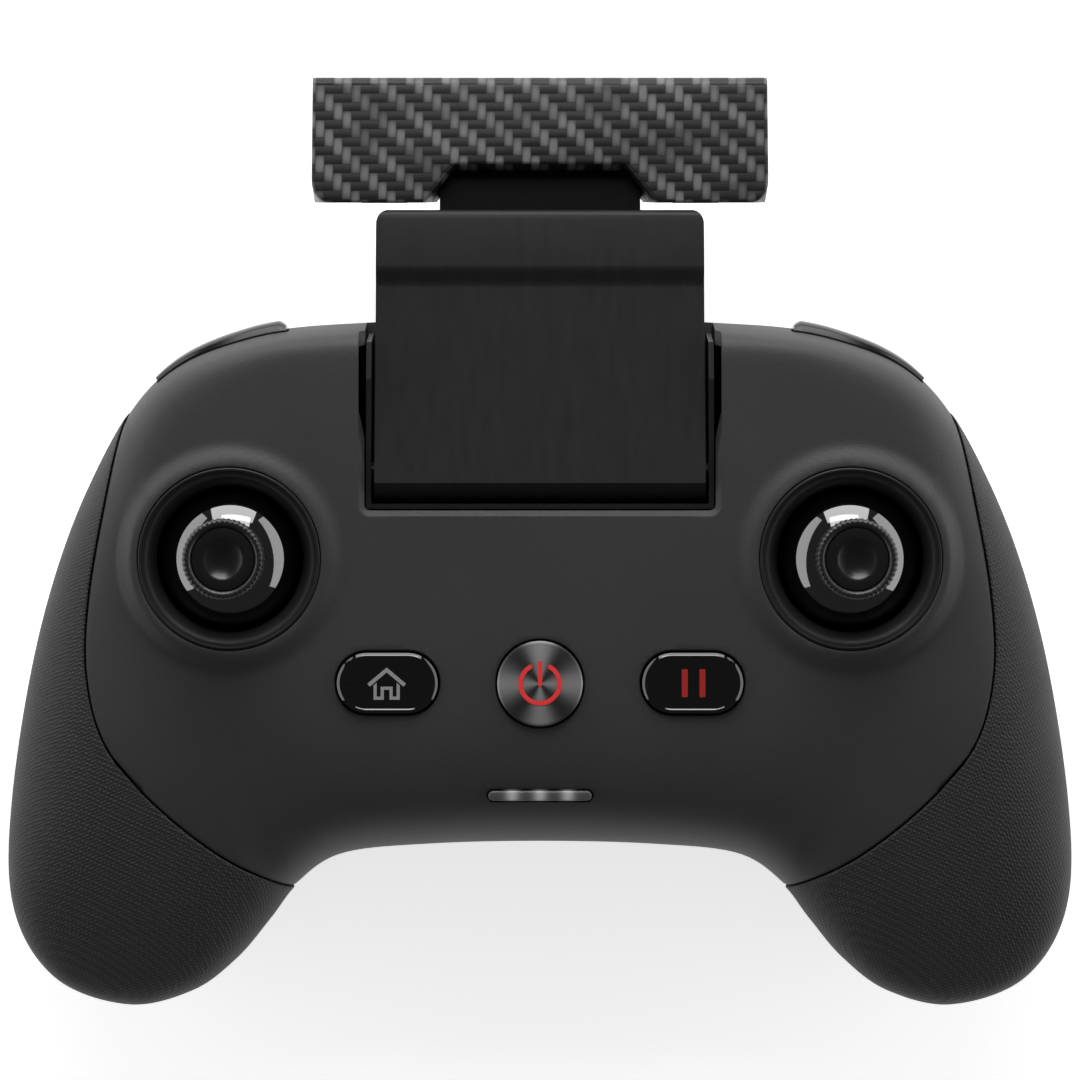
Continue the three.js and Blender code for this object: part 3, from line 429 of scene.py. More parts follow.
class Seam:
    """The plan line between the shells and the right grip cover, moved towards the shells by shift."""

    def __init__(self, shift, proud=0.0):
        last = len(GRIP_SEAM) - 1
        line = catmull(GRIP_SEAM, np.linspace(0, last, 60 * last + 1))
        d = np.gradient(line, axis=0)
        d /= np.linalg.norm(d, axis=1)[:, None]
        self.line = line - shift * np.stack([-d[:, 1], d[:, 0]], axis=1)

        def edge(u):
            return outline_at(u)[:, :2] + proud * outline_normal(u)

        self.first = self.meeting(2.6, 4.2, edge)
        self.spine = self.meeting(4.2, 5.9, rib_foot)
        self.last = self.meeting(12.0, 14.6, edge)

    def side(self, point):
        k = int(np.argmin(np.hypot(*(self.line - point).T)))
        k = min(max(k, 1), len(self.line) - 2)
        d = self.line[k + 1] - self.line[k - 1]
        v = point - self.line[k]
        return d[0] * v[1] - d[1] * v[0] > 0

    def meeting(self, low, high, curve):
        at_low = self.side(curve(np.array([low]))[0])
        for _ in range(40):
            middle = (low + high) / 2
            if self.side(curve(np.array([middle]))[0]) == at_low:
                low = middle
            else:
                high = middle
        return (low + high) / 2

    def share(self, u):
        """How far along its rib a rib meets the seam."""
        p, s = outline_at([u])[0][:2], rib_foot([u])[0]
        d = s - p
        a = self.line[:-1]
        e = self.line[1:] - a
        w = a - p
        det = d[0] * e[:, 1] - d[1] * e[:, 0]
        det = np.where(np.abs(det) < 1e-9, 1e-9, det)
        t = (w[:, 0] * e[:, 1] - w[:, 1] * e[:, 0]) / det
        k = (w[:, 0] * d[1] - w[:, 1] * d[0]) / det
        hits = t[(k >= -1e-6) & (k <= 1 + 1e-6) & (t > -0.1) & (t < 1.02)]
        return float(min(hits.min(), 1)) if len(hits) else 0.0

    def distance(self, points):
        """Plan distance of points from the seam."""
        x, y = np.abs(points[..., 0]).reshape(-1), points[..., 1].reshape(-1)
        line = self.line[::5]
        k = np.argmin(np.hypot(x[:, None] - line[:, 0], y[:, None] - line[:, 1]), axis=1)
        ahead = line[np.minimum(k + 1, len(line) - 1)] - line[np.maximum(k - 1, 0)]
        ahead /= np.linalg.norm(ahead, axis=1)[:, None]
        gone = np.abs(ahead[:, 0] * (y - line[k, 1]) - ahead[:, 1] * (x - line[k, 0]))
        return gone.reshape(points.shape[:-1])


def round_drop(distance, radius):
    """How far a rounded edge has fallen at a distance from that edge."""
    t = np.clip(radius - distance, 0, radius)
    return radius - np.sqrt(radius ** 2 - t ** 2)


RIBS_A_ROW = 22
EDGE_RISES = np.array([0.0, 0.12, 0.3, 0.6, 1.0, 1.7, 2.6])
SEAM_STEPS = np.array([0.0, 0.03, 0.09, 0.18, 0.3, 0.7, 1.3])


def rib_values(seam):
    """Rib positions from 0 to HALF, the same from both ends, with the seam's meetings among them."""
    values = np.linspace(0, HALF, HALF * RIBS_A_ROW + 1)
    for mark in (seam.first, seam.spine, HALF - seam.last):
        for value in (mark, HALF - mark):
            values[int(np.argmin(np.abs(values - value)))] = value
    return values


def parted(points, side, floor):
    """Lifts points off the parting plane so that the two shells stay a gap apart."""
    rise = side * (points[..., 2] - PARTING_Z)
    rise = np.where(rise < 0.6, floor + rise * (0.6 - floor) / 0.6, rise)
    points[..., 2] = PARTING_Z + side * rise
    return points


def shell_skin(side, levels):
    seam = Seam(GAP_HALF)
    u = rib_values(seam)
    u = u[(u <= seam.spine + 1e-9) | (u >= HALF - seam.spine - 1e-9)]
    length, across = length_at(u), across_at(u)
    roundness = outline_at(u)[:, 2] if side > 0 else np.full(len(u), REAR_ROUND)
    edges = np.zeros(len(u))
    outer_shares, inner_shares = [], []
    for k, value in enumerate(u):
        if seam.first + 1e-9 < value < seam.last - 1e-9:
            met = abs(value - seam.spine) < 1e-6 or abs(HALF - seam.spine - value) < 1e-6
            edges[k] = 1.0 if met else max(seam.share(value), 0)
        inland = min(1, edges[k] * length[k] / 6)
        at_edge = EDGE_RISES ** 2 / (2 * roundness[k] * across[k])
        at_seam = SEAM_STEPS * min(1, (1 - edges[k]) * length[k] / 4) / length[k]
        near = edges[k] + (1 - inland) * at_edge * (1 - edges[k]) + inland * at_seam
        t = np.arange(1, levels + 1) / levels
        outer_shares.append(np.concatenate([near, near[-1] + (1 - near[-1]) * t ** (1.4 - 0.3 * inland)]))
        start = min(max(edges[k], WALL / across[k]), 1)
        inner_shares.append(start + (1 - start) * (np.arange(0, 25) / 24) ** 1.5)
    outer_shares, inner_shares = np.array(outer_shares), np.array(inner_shares)
    n = outline_normal(u)
    plain = body_point(u, outer_shares, side)
    outer = body_point(u, outer_shares, side, round_drop(seam.distance(plain), SEAM_ROUND))
    tuck = round_drop(np.abs(outer[..., 2] - PARTING_Z), 0.3)
    outer[..., :2] -= n[:, None, :] * tuck[..., None]
    outer = parted(outer, side, GAP_HALF)
    inner = parted(body_point(u, inner_shares, side, WALL), side, GAP_HALF)
    corner = parted(body_point(u, edges[:, None], side, WALL), side, GAP_HALF)
    corner[:, 0, :2] = outer[:, 0, :2]
    skin = Skin()
    upper = u <= seam.spine + 1e-9
    for sign in (1, -1):
        flip = np.array([sign, 1, 1])
        for part in (upper, ~upper):
            skin.grid(outer[part] * flip)
            skin.grid(inner[part] * flip)
            skin.grid(np.stack([outer[part, 0], corner[part, 0], inner[part, 0]], axis=1) * flip)
    return skin


def grip_skin(levels):
    seam = Seam(-GAP_HALF, GRIP_PROUD)
    u = rib_values(seam)
    u = u[(u >= seam.first - 1e-9) & (u <= seam.last + 1e-9)]
    length, across = length_at(u), across_at(u)
    covered = (u >= seam.spine - 1e-9) & (u <= HALF - seam.spine + 1e-9)
    stops = np.ones(len(u))
    outer_shares, inner_shares = [], []
    for k, value in enumerate(u):
        low = -GRIP_PROUD / across[k]
        if not covered[k]:
            end = abs(value - seam.first) < 1e-6 or abs(value - seam.last) < 1e-6
            stops[k] = low if end else max(seam.share(value), low)
        room = (stops[k] - low) * length[k]
        near = stops[k] - SEAM_STEPS[::-1] * min(1, room / 4) / length[k]
        t = (np.arange(0, levels) / levels) ** 1.8
        outer_shares.append(np.concatenate([low + (near[0] - low) * t, near]))
        start = min(WALL / across[k], stops[k])
        inner_shares.append(start + (stops[k] - start) * (np.arange(0, 21) / 20) ** 1.5)
    outer_shares, inner_shares = np.array(outer_shares), np.array(inner_shares)
    skin = Skin()
    for side in (1, -1):
        plain = body_point(u, outer_shares, side, -GRIP_PROUD)
        drop = np.where(covered[:, None], 0, round_drop(seam.distance(plain), SEAM_ROUND))
        outer = body_point(u, outer_shares, side, drop - GRIP_PROUD)
        outer[:, 0, 2] = PARTING_Z
        inner = body_point(u, inner_shares, side, WALL)
        inner[:, 0, 2] = PARTING_Z
        corner = body_point(u, stops[:, None], side, WALL)
        corner[:, 0, :2] = outer[:, -1, :2]
        skin.grid(outer)
        skin.grid(inner)
        border = np.stack([outer[:, -1], corner[:, 0], inner[:, -1]], axis=1)
        first, last = int(np.argmax(covered)), len(u) - 1 - int(np.argmax(covered[::-1]))
        skin.grid(border[: first + 1])
        skin.grid(border[last:])
    return skin


# ---------------------------------------------------------------- cutters
def height_over(tree, points, up):
    """Height of the skin in the tree at plan points, from rays cast from above or from below."""
    heights = []
    for x, y in points:
        start = Vector(to_world((x, y, RAYS_FROM_ABOVE if up else RAYS_FROM_BELOW)))
        hit = tree.ray_cast(start, Vector((0, 0, -1 if up else 1)))[0]
        heights.append(PARTING_Z if hit is None else hit.z / MM)
    return np.array(heights)


def tree_of(piece):
    return BVHTree.FromObject(piece, bpy.context.evaluated_depsgraph_get())


FLARE_TURNS = (0, 18, 36, 54, 72)
FLARE_REACH = 6.0  # how far a cutter stands out past the surface


def flared(tree, loop, radius, depth, up=True):
    """A cutter whose wall runs up to the surface and then rounds over outwards with the given radius."""
    sign = 1 if up else -1
    base = height_over(tree, loop, up)
    loops = [level(loop, depth)]
    for degrees in FLARE_TURNS:
        a = math.radians(degrees)
        ring = grown(loop, radius * (1 - math.cos(a)))
        heights = height_over(tree, ring, up)
        loops.append(np.column_stack([ring, heights - sign * radius * (1 - math.sin(a))]))
    last = radius * (1 - math.cos(math.radians(FLARE_TURNS[-1])))
    ring = grown(loop, last + radius * 0.4)
    heights = height_over(tree, ring, up)
    loops.append(np.column_stack([ring, heights + sign * 0.08 * radius]))
    loops.append(np.column_stack([ring, base + sign * FLARE_REACH]))
    return Skin().loft(loops).piece("cutter")


def plain_cutter(loop, z0, z1):
    return prism(loop, [(0, z0), (0, z1)]).piece("cutter")



# ---------------------------------------------------------------- materials
def material(name, colour, roughness, metallic=0.0, **sockets):
    """A principled material; returns it with its node tree and shader."""
    made = bpy.data.materials.new(name)
    made.use_nodes = True
    tree = made.node_tree
    shader = tree.nodes["Principled BSDF"]
    shader.inputs["Base Color"].default_value = (*colour, 1)
    shader.inputs["Roughness"].default_value = roughness
    shader.inputs["Metallic"].default_value = metallic
    for socket, value in sockets.items():
        shader.inputs[socket.replace("_", " ")].default_value = value
    return made, tree, shader


def node(tree, kind, inputs=None, **settings):
    made = tree.nodes.new("ShaderNode" + kind)
    for name, value in settings.items():
        setattr(made, name, value)
    for name, value in (inputs or {}).items():
        if isinstance(value, bpy.types.NodeSocket):
            tree.links.new(value, made.inputs[name])
        else:
            made.inputs[name].default_value = value
    return made


def maths(tree, operation, *values):
    made = tree.nodes.new("ShaderNodeMath")
    made.operation = operation
    for k, value in enumerate(values):
        if isinstance(value, bpy.types.NodeSocket):
            tree.links.new(value, made.inputs[k])
        else:
            made.inputs[k].default_value = value
    return made.outputs[0]


def place(tree, scale=(1, 1, 1), turn=0.0):
    """Object coordinates, which are scene metres because every piece has its origin at the scene's."""
    at = node(tree, "TexCoord").outputs["Object"]
    mapping = node(tree, "Mapping", {"Vector": at, "Scale": scale, "Rotation": (0, 0, turn)})
    return mapping.outputs["Vector"]


def noise(tree, scale, detail=3.0, stretch=(1, 1, 1)):
    made = node(tree, "TexNoise", {"Vector": place(tree, stretch), "Scale": scale, "Detail": detail})
    return made.outputs["Fac"]


def ramp(tree, value, low, high, start=0.0, stop=1.0):
    inputs = {"Value": value, "From Min": start, "From Max": stop, "To Min": low, "To Max": high}
    return node(tree, "MapRange", inputs).outputs["Result"]


def shades(tree, value, dark, light):
    """A mix of two colours, each a tuple or another colour's socket."""
    made = tree.nodes.new("ShaderNodeMix")
    made.data_type = "RGBA"
    tree.links.new(value, made.inputs[0])
    for slot, colour in ((6, dark), (7, light)):
        if isinstance(colour, bpy.types.NodeSocket):
            tree.links.new(colour, made.inputs[slot])
        else:
            made.inputs[slot].default_value = (*colour, 1)
    return made.outputs[2]


def bump(tree, shader, height, distance):
    made = node(tree, "Bump", {"Height": height, "Distance": distance, "Strength": 1.0})
    tree.links.new(made.outputs["Normal"], shader.inputs["Normal"])


def grey(value):
    return (value, value, value)


def grained(name, level_low, level_high, rough_low, rough_high, grain_scale, depth, **sockets):
    """A plastic whose colour, gloss and relief all vary a little."""
    made, tree, shader = material(name, grey(level_low), rough_low, **sockets)
    cloud = noise(tree, 60, 2)
    fine = noise(tree, grain_scale, 2)
    tree.links.new(shades(tree, cloud, grey(level_low), grey(level_high)), shader.inputs["Base Color"])
    tree.links.new(ramp(tree, cloud, rough_low, rough_high), shader.inputs["Roughness"])
    bump(tree, shader, fine, depth)
    return made


def grip_material():
    """Soft rubber with a close grid of raised dots, painted lighter on their tops and darker as shade in the
    hollows between them.
    """
    made, tree, shader = material("grip", grey(0.03), 0.62, Specular_IOR_Level=0.3)
    at = node(tree, "SeparateXYZ", {"Vector": place(tree, turn=math.radians(24))})
    pitch = 0.0008
    waves = []
    for axis in "XYZ":
        turns = maths(tree, "MULTIPLY", at.outputs[axis], 2 * math.pi / pitch)
        waves.append(maths(tree, "SINE", turns))
    dots = maths(tree, "MULTIPLY", maths(tree, "ADD", waves[0], waves[2]), waves[1])
    height = ramp(tree, dots, 0.0, 1.0, -0.4, 1.4)
    # painted shade: the colour darkens into the hollows between the dots and lightens on their tops
    tree.links.new(shades(tree, height, grey(0.022), grey(0.042)), shader.inputs["Base Color"])
    tree.links.new(ramp(tree, noise(tree, 90), 0.55, 0.7), shader.inputs["Roughness"])
    bump(tree, shader, height, 0.00012)
    return made


def crest(tree, value):
    """A hump over each unit of the value."""
    return maths(tree, "SINE", maths(tree, "MULTIPLY", value, math.pi))


def carbon_material():
    """Two by two twill under a thin clear coat, whose upright tows carry a painted sheen brightest along
    their crowns and whose flat tows carry a painted shade darkest at their edges.
    """
    coat = {"Coat_Weight": 0.08, "Coat_Roughness": 0.15, "Specular_IOR_Level": 0.2}
    made, tree, shader = material("carbon", grey(0.02), 0.38, **coat)
    tow = 0.0016
    at = node(tree, "SeparateXYZ", {"Vector": place(tree)})
    across = maths(tree, "DIVIDE", maths(tree, "ADD", at.outputs["X"], 0.4), tow)
    along = maths(tree, "DIVIDE", maths(tree, "ADD", at.outputs["Y"], 0.4), tow)
    column, row = maths(tree, "FLOOR", across), maths(tree, "FLOOR", along)
    turn = maths(tree, "FLOORED_MODULO", maths(tree, "ADD", column, row), 4.0)
    upright = maths(tree, "LESS_THAN", turn, 1.5)
    in_column, in_row = maths(tree, "FRACT", across), maths(tree, "FRACT", along)
    crown_column = crest(tree, in_column)
    crown_row = crest(tree, in_row)
    run_column = crest(tree, maths(tree, "DIVIDE", maths(tree, "ADD", in_row, turn), 2.0))
    raised = maths(tree, "MULTIPLY", crown_column, maths(tree, "ABSOLUTE", run_column))
    # painted highlight along the crown of each upright tow
    painted_tow_highlight = maths(tree, "POWER", raised, 0.45)
    # painted shade: the flat tows darken towards their edges
    flat = maths(tree, "POWER", crown_row, 0.5)
    fibres = ramp(tree, noise(tree, 900, 2, (3, 0.25, 1)), 0.8, 1.15)
    blotch = ramp(tree, noise(tree, 120, 1), 0.55, 1.25, 0.35, 0.65)
    painted_sheen = maths(tree, "MULTIPLY", maths(tree, "MULTIPLY", painted_tow_highlight, fibres), blotch)
    # painted sheen on the upright tows and painted shade on the flat ones
    light = shades(tree, painted_sheen, grey(0.012), grey(0.14))
    dark = shades(tree, flat, grey(0.004), grey(0.012))
    tree.links.new(shades(tree, upright, dark, light), shader.inputs["Base Color"])
    tree.links.new(ramp(tree, upright, 0.45, 0.34), shader.inputs["Roughness"])
    over = maths(tree, "MULTIPLY", crown_column, upright)
    under = maths(tree, "MULTIPLY", crown_row, maths(tree, "SUBTRACT", 1.0, upright))
    relief = maths(tree, "ADD", over, under)
    bump(tree, shader, relief, 0.00006)
    return made


def brushed_grain(name, value, roughness, scale, specular):
    """Near-black satin with fine upright grain."""
    made, tree, shader = material(name, grey(value), roughness, Specular_IOR_Level=specular)
    grain = noise(tree, scale, 4, (1, 0.12, 1))
    tree.links.new(shades(tree, grain, grey(value * 0.8), grey(value * 1.3)), shader.inputs["Base Color"])
    tree.links.new(ramp(tree, grain, roughness - 0.05, roughness + 0.06), shader.inputs["Roughness"])
    bump(tree, shader, grain, 0.00003)
    return made


def metal(name, colour, roughness, scale, **sockets):
    made, tree, shader = material(name, colour, roughness, 1.0, **sockets)
    speck = noise(tree, scale, 3)
    dark, light = (tuple(channel * gain for channel in colour) for gain in (0.85, 1.1))
    tree.links.new(shades(tree, speck, dark, light), shader.inputs["Base Color"])
    tree.links.new(ramp(tree, speck, roughness - 0.04, roughness + 0.05), shader.inputs["Roughness"])
    return made


def spun_material():
    """Dark metal turned in fine circles about the power button's centre, with painted highlights in its base
    colour: strong lobes at 3 and 9 o'clock and weaker ones at 12 and 6.
    """
    turning = {"Anisotropic": 0.9, "Anisotropic_Rotation": 0.25}
    made, tree, shader = material("spun_metal", grey(0.3), 0.46, 1.0, **turning)
    at = node(tree, "SeparateXYZ", {"Vector": place(tree)})
    off = maths(tree, "SUBTRACT", at.outputs["Y"], (POWER_Y + SHIFT_Y) * MM)
    squares = [maths(tree, "POWER", value, 2.0) for value in (at.outputs["X"], off)]
    radius = maths(tree, "SQRT", maths(tree, "ADD", *squares))
    turned = {"W": maths(tree, "MULTIPLY", radius, 9000.0), "Scale": 1.0, "Detail": 2.0}
    rings = node(tree, "TexNoise", turned, noise_dimensions="1D")
    # painted highlights: the base colour lightens towards 3 and 9 o'clock, and less towards 12 and 6, where
    # the side and top lights would catch turned metal
    painted_highlight_lobes = 0.0
    for value, strength in ((at.outputs["X"], 1.0), (off, 0.4)):
        towards = maths(tree, "DIVIDE", maths(tree, "ABSOLUTE", value), radius)
        painted_lobe = maths(tree, "MULTIPLY", maths(tree, "POWER", towards, 7.0), strength)
        painted_highlight_lobes = maths(tree, "ADD", painted_highlight_lobes, painted_lobe)
    painted_sheen = maths(tree, "MULTIPLY", painted_highlight_lobes, ramp(tree, rings.outputs["Fac"], 0.7, 1.2))
    # the painted highlight lobes, broken up by the turned rings
    tree.links.new(shades(tree, painted_sheen, grey(0.05), grey(0.55)), shader.inputs["Base Color"])
    tree.links.new(ramp(tree, rings.outputs["Fac"], 0.46, 0.54), shader.inputs["Roughness"])
    tangent = node(tree, "Tangent", direction_type="RADIAL", axis="Z")
    tree.links.new(tangent.outputs["Tangent"], shader.inputs["Tangent"])
    return made


def light_material():
    """Grey translucent strip with three lamps behind it."""
    made, tree, shader = material("light_pipe", grey(0.18), 0.35)
    at = node(tree, "SeparateXYZ", {"Vector": place(tree)})
    glow = None
    for x in (-LAMP_PITCH, 0, LAMP_PITCH):
        off = maths(tree, "DIVIDE", maths(tree, "SUBTRACT", at.outputs["X"], x * MM), LAMP_SPREAD * MM)
        square = maths(tree, "POWER", maths(tree, "ABSOLUTE", off), 2.0)
        spot = maths(tree, "EXPONENT", maths(tree, "MULTIPLY", square, -1.0))
        glow = spot if glow is None else maths(tree, "ADD", glow, spot)
    tree.links.new(shades(tree, glow, grey(0.07), grey(0.3)), shader.inputs["Base Color"])
    shader.inputs["Emission Color"].default_value = (0.95, 0.97, 1, 1)
    tree.links.new(maths(tree, "MULTIPLY", glow, 0.1), shader.inputs["Emission Strength"])
    return made


def board_material():
    made, tree, shader = material("board", (0.01, 0.06, 0.03), 0.35)
    cells = node(tree, "TexVoronoi", {"Vector": place(tree), "Scale": 420.0}, distance="CHEBYCHEV")
    edge = maths(tree, "GREATER_THAN", cells.outputs["Distance"], 0.62)
    tree.links.new(shades(tree, edge, (0.008, 0.05, 0.025), (0.03, 0.12, 0.05)), shader.inputs["Base Color"])
    return made


def dome_material():
    coat = {"IOR": 1.9, "Coat_Weight": 0.5, "Coat_Roughness": 0.02}
    return grained("dome", 0.0008, 0.0012, 0.03, 0.05, 300, 0.0, **coat)


M = {
    "shell": grained("shell", 0.037, 0.044, 0.5, 0.58, 5200, 0.00006, Specular_IOR_Level=0.3),
    "grip": grip_material(),
    "collar": grained("collar", 0.006, 0.009, 0.42, 0.5, 1500, 0.00002, Specular_IOR_Level=0.35),
    "shoulder": grained("shoulder", 0.003, 0.004, 0.1, 0.16, 900, 0.0, Specular_IOR_Level=0.4),
    "trim": grained("trim", 0.006, 0.009, 0.45, 0.55, 1500, 0.00002, Specular_IOR_Level=0.3),
    "gloss": grained("gloss", 0.0008, 0.0012, 0.03, 0.06, 300, 0.0, Coat_Weight=0.4, Coat_Roughness=0.02),
    "dome": dome_material(),
    "stick_cap": grained("stick_cap", 0.008, 0.014, 0.3, 0.42, 2200, 0.00005),
    "stick_face": grained("stick_face", 0.004, 0.007, 0.22, 0.3, 1500, 0.00001),
    "holder": brushed_grain("holder", 0.012, 0.42, 700, 0.2),
    "arm": brushed_grain("arm", 0.0025, 0.4, 700, 0.06),
    "carbon": carbon_material(),
    "steel": metal("steel", (0.55, 0.55, 0.54), 0.3, 900),
    "spun_metal": spun_material(),
    "rubber": grained("rubber", 0.014, 0.02, 0.7, 0.8, 1800, 0.00004),
    "light_pipe": light_material(),
    "board": board_material(),
    "cell": grained("cell", 0.2, 0.26, 0.4, 0.5, 500, 0.00003),
    "frame": grained("frame", 0.02, 0.028, 0.5, 0.6, 900, 0.00003),
    "icon_grey": grained("icon_grey", 0.27, 0.31, 0.45, 0.5, 700, 0.0),
    "icon_red": material("icon_red", (0.83, 0.045, 0.045), 0.4)[0],
    "pause_red": material("pause_red", (0.38, 0.02, 0.017), 0.4)[0],
}


def own(piece, body, slot, *nodes, look=None):
    """Gives a piece its material, from the look or else the slot, puts it on its body and hides the CAD nodes
    that it stands for.
    """
    piece.data.materials.clear()
    piece.data.materials.append(M[look or slot])
    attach(piece, body)
    if nodes:
        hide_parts(*nodes)
    return piece


# ---------------------------------------------------------------- shells, grips and screws
def cut_front(shell):
    tree = tree_of(shell)
    holes = []
    for s in (1, -1):
        holes.append((circle(s * STICK_X, STICK_Y, WELL_R, 144), 0.35))
        holes.append((pill(s * KEY_X, KEY_Y, KEY_LENGTH + 2 * RUN, KEY_WIDTH + 2 * RUN), 0.3))
    holes.append((circle(0, POWER_Y, POWER_R + RUN), 0.3))
    holes.append((pill(0, LIGHT_Y, LIGHT_LENGTH + 2 * GAP_HALF, LIGHT_WIDTH + 2 * GAP_HALF, 10), 0.15))
    cutters = [flared(tree, loop, radius, PARTING_Z) for loop, radius in holes]
    cutters.append(bay_room(tree))
    for s in (1, -1):
        cutters.append(Skin().loft(shoulder_bar(RUN, POCKET_OUT, True)).piece("cutter", mirror=s < 0))
        cutters += [plain_cutter(circle(s * x, y, SHANK_HOLE_R, 24), 20, SHANK_HOLE_TOP) for x, y in SCREWS]
    return combine(shell, cutters, "DIFFERENCE")


BAY_BEVEL = ((0.0, 0.66), (0.12, 0.56), (0.95, 0.02), (1.05, -0.04))  # steps outwards and below the face


def bay_room(tree):
    """The holder's room: a box cut by the lean of its floor, with a bevel along the face."""
    beyond = 60.0
    loop = np.array([(BAY_HALF, beyond), (-BAY_HALF, beyond), (-BAY_HALF, BAY_LOW), (BAY_HALF, BAY_LOW)])
    loop = filleted(loop, [0, 0, 1.2, 1.2], 6)
    floor = HOLDER_Z + (loop[:, 1] - HOLDER_Y) * math.tan(HOLDER_LEAN) + BAY_FLOOR / math.cos(HOLDER_LEAN)
    loops = [np.column_stack([loop, floor])]
    for offset, drop in BAY_BEVEL:
        ring = grown(loop, offset)
        over_the_face = np.clip(ring, [-95, -50], [95, 37.5])
        heights = height_over(tree, over_the_face, True)
        loops.append(np.column_stack([ring, heights - drop]))
    loops.append(level(loops[-1][:, :2], RAYS_FROM_ABOVE))
    return Skin().loft(loops).piece("cutter")


def shoulder_section(u, share, grow, out_grow, pocket):
    """One section of the shoulder key, whose outer side follows the outline, or of the pocket for it."""
    x, y = outline_at([u])[0][:2]
    nx, ny = outline_normal([u])[0]
    rounded_end = math.sqrt(min(1, (share + 0.004) / 0.05))
    swell = SHOULDER_OUT * (1 - 0.75 * share ** 2.2) * rounded_end + out_grow
    taper = 1.6 * share
    low, high = SHOULDER_Z0 + taper - grow, SHOULDER_Z1 - taper + grow
    deep = -SHOULDER_DEPTH - grow
    if pocket:
        deep -= SHOULDER_TRAVEL + RUN
        rows = [(deep, low), (deep, high), (swell, high)]
    else:
        crest = SHOULDER_CREST + 0.38
        rows = [(deep, low), (deep, high), (SHOULDER_CREST, high), (SHOULDER_CREST + 0.2, high - 0.05)]
        rows.append((crest, high - 0.2))
        for turn in range(1, 7):
            a = math.radians(15 * turn)
            fall = SHOULDER_FLANK * (1 - math.cos(a))
            rows.append((crest + (swell - crest) * math.sin(a), high - 0.2 - fall))
    for k in range(6):
        a = math.pi / 2 * (1 - k / 5)
        rows.append((swell - 1.3 * (1 - math.sin(a)), low + 1.6 * (1 - math.cos(a))))
    return [(x + nx * out, y + ny * out, z) for out, z in rows]


def shoulder_bar(grow, out_grow, pocket=False):
    """Sections along the shoulder key, closest together at its rounded inner end."""
    stretch = grow / 20
    sections = []
    for k in range(41):
        share = (k / 40) ** 1.5
        u = SHOULDER_FROM - stretch + (SHOULDER_TO - SHOULDER_FROM + 2 * stretch) * share
        sections.append(shoulder_section(u, share, grow, out_grow, pocket))
    return sections


def rear_cutters(tree):
    cutters = []
    for k in range(SPEAKER_SLOTS):
        x = (k - (SPEAKER_SLOTS - 1) / 2) * SPEAKER_PITCH
        cutters.append(flared(tree, pill(x, SPEAKER_Y, 1.4, 9), 0.2, 12, up=False))
    for x, y in SCREWS:
        for s in (1, -1):
            seat = screw_seat(tree, x, y)
            cutters.append(flared(tree, circle(s * x, y, 2.7, 40), 0.3, seat, up=False))
            cutters.append(plain_cutter(circle(s * x, y, SHANK_HOLE_R, 24), 0.5, PARTING_Z + 1))
    for s in (1, -1):
        room = circle(s * WHEEL_X, WHEEL_Y, WHEEL_R + RUN, 96)
        cutters.append(plain_cutter(room, WHEEL_Z0 - RUN, WHEEL_Z1 + RUN))
        cutters.append(plain_cutter(circle(s * WHEEL_X, WHEEL_Y, 4.6, 32), WHEEL_Z0 - 2, WHEEL_Z1 + 2))
        shape = pill(s * REAR_KEY_X, REAR_KEY_Y, REAR_KEY_LENGTH + 2 * RUN, REAR_KEY_WIDTH + 2 * RUN)
        cutters.append(flared(tree, shape, 0.3, 8.9, up=False))
        cutters.append(plain_cutter(grown(shape, 1.2), 7.65, 20))
    width, height = USB_WIDTH / 2 + 0.3, USB_HEIGHT / 2 + 0.3
    hole = rounded(-width, width, USB_Z - height, USB_Z + height, height - 0.01, 8)
    loops = [np.column_stack([hole[:, 0], np.full(len(hole), y), hole[:, 1]]) for y in (-60, -46)]
    cutters.append(Skin().loft(loops).piece("cutter"))
    return cutters


def screw_seat(tree, x, y):
    return float(height_over(tree, [(x, y)], False)[0]) + SCREW_SINK + SCREW_HEAD


def screw_bosses(tree, up):
    """Posts for the screws, from the parting plane to just under the skin that the tree holds."""
    posts = []
    for x, y in SCREWS:
        for s in (1, -1):
            loop = circle(s * x, y, BOSS_R, 32)
            heights = height_over(tree, loop, up)
            end = heights.min() - SCREW_SINK if up else heights.max() + SCREW_SINK
            start = PARTING_Z + (GAP_HALF if up else -GAP_HALF)
            posts.append(prism(loop, [(0, min(start, end)), (0, max(start, end))]).piece("boss"))
    return posts


def shells_and_grips():
    front = shell_skin(1, 52).piece("front_shell_skin")
    rear = shell_skin(-1, 40).piece("rear_shell_skin")
    rear_tree = tree_of(rear)
    seats = {(x, y): screw_seat(rear_tree, x, y) for x, y in SCREWS}
    combine(front, screw_bosses(tree_of(front), True), "UNION")
    cut_front(front)
    combine(rear, screw_bosses(rear_tree, False), "UNION")
    combine(rear, rear_cutters(rear_tree), "DIFFERENCE")
    own(front, "root", "shell", "front_shell")
    own(rear, "root", "shell", "rear_shell")
    for side, sign in SIDES:
        grip = grip_skin(40).piece(f"{side}_grip", mirror=sign < 0)
        own(grip, "root", "grip", f"{side}_grip_cover")
        for k, (x, y) in enumerate(SCREWS):
            seat = seats[(x, y)] - 0.3
            head = [(0, -1.2), (1.0, -1.2), (1.2, -1.65), (2.0, -SCREW_HEAD), (2.4, -1.4), (2.4, 0), (1.1, 0)]
            profile = [(r, seat + z) for r, z in head] + [(1.1, SCREW_TIP), (0, SCREW_TIP)]
            screw = lathe(profile, sign * x, y, 48).piece(f"{side}_screw_{k + 1}")
            own(screw, "root", "steel", f"{side}_housing_screw_{k + 1}")


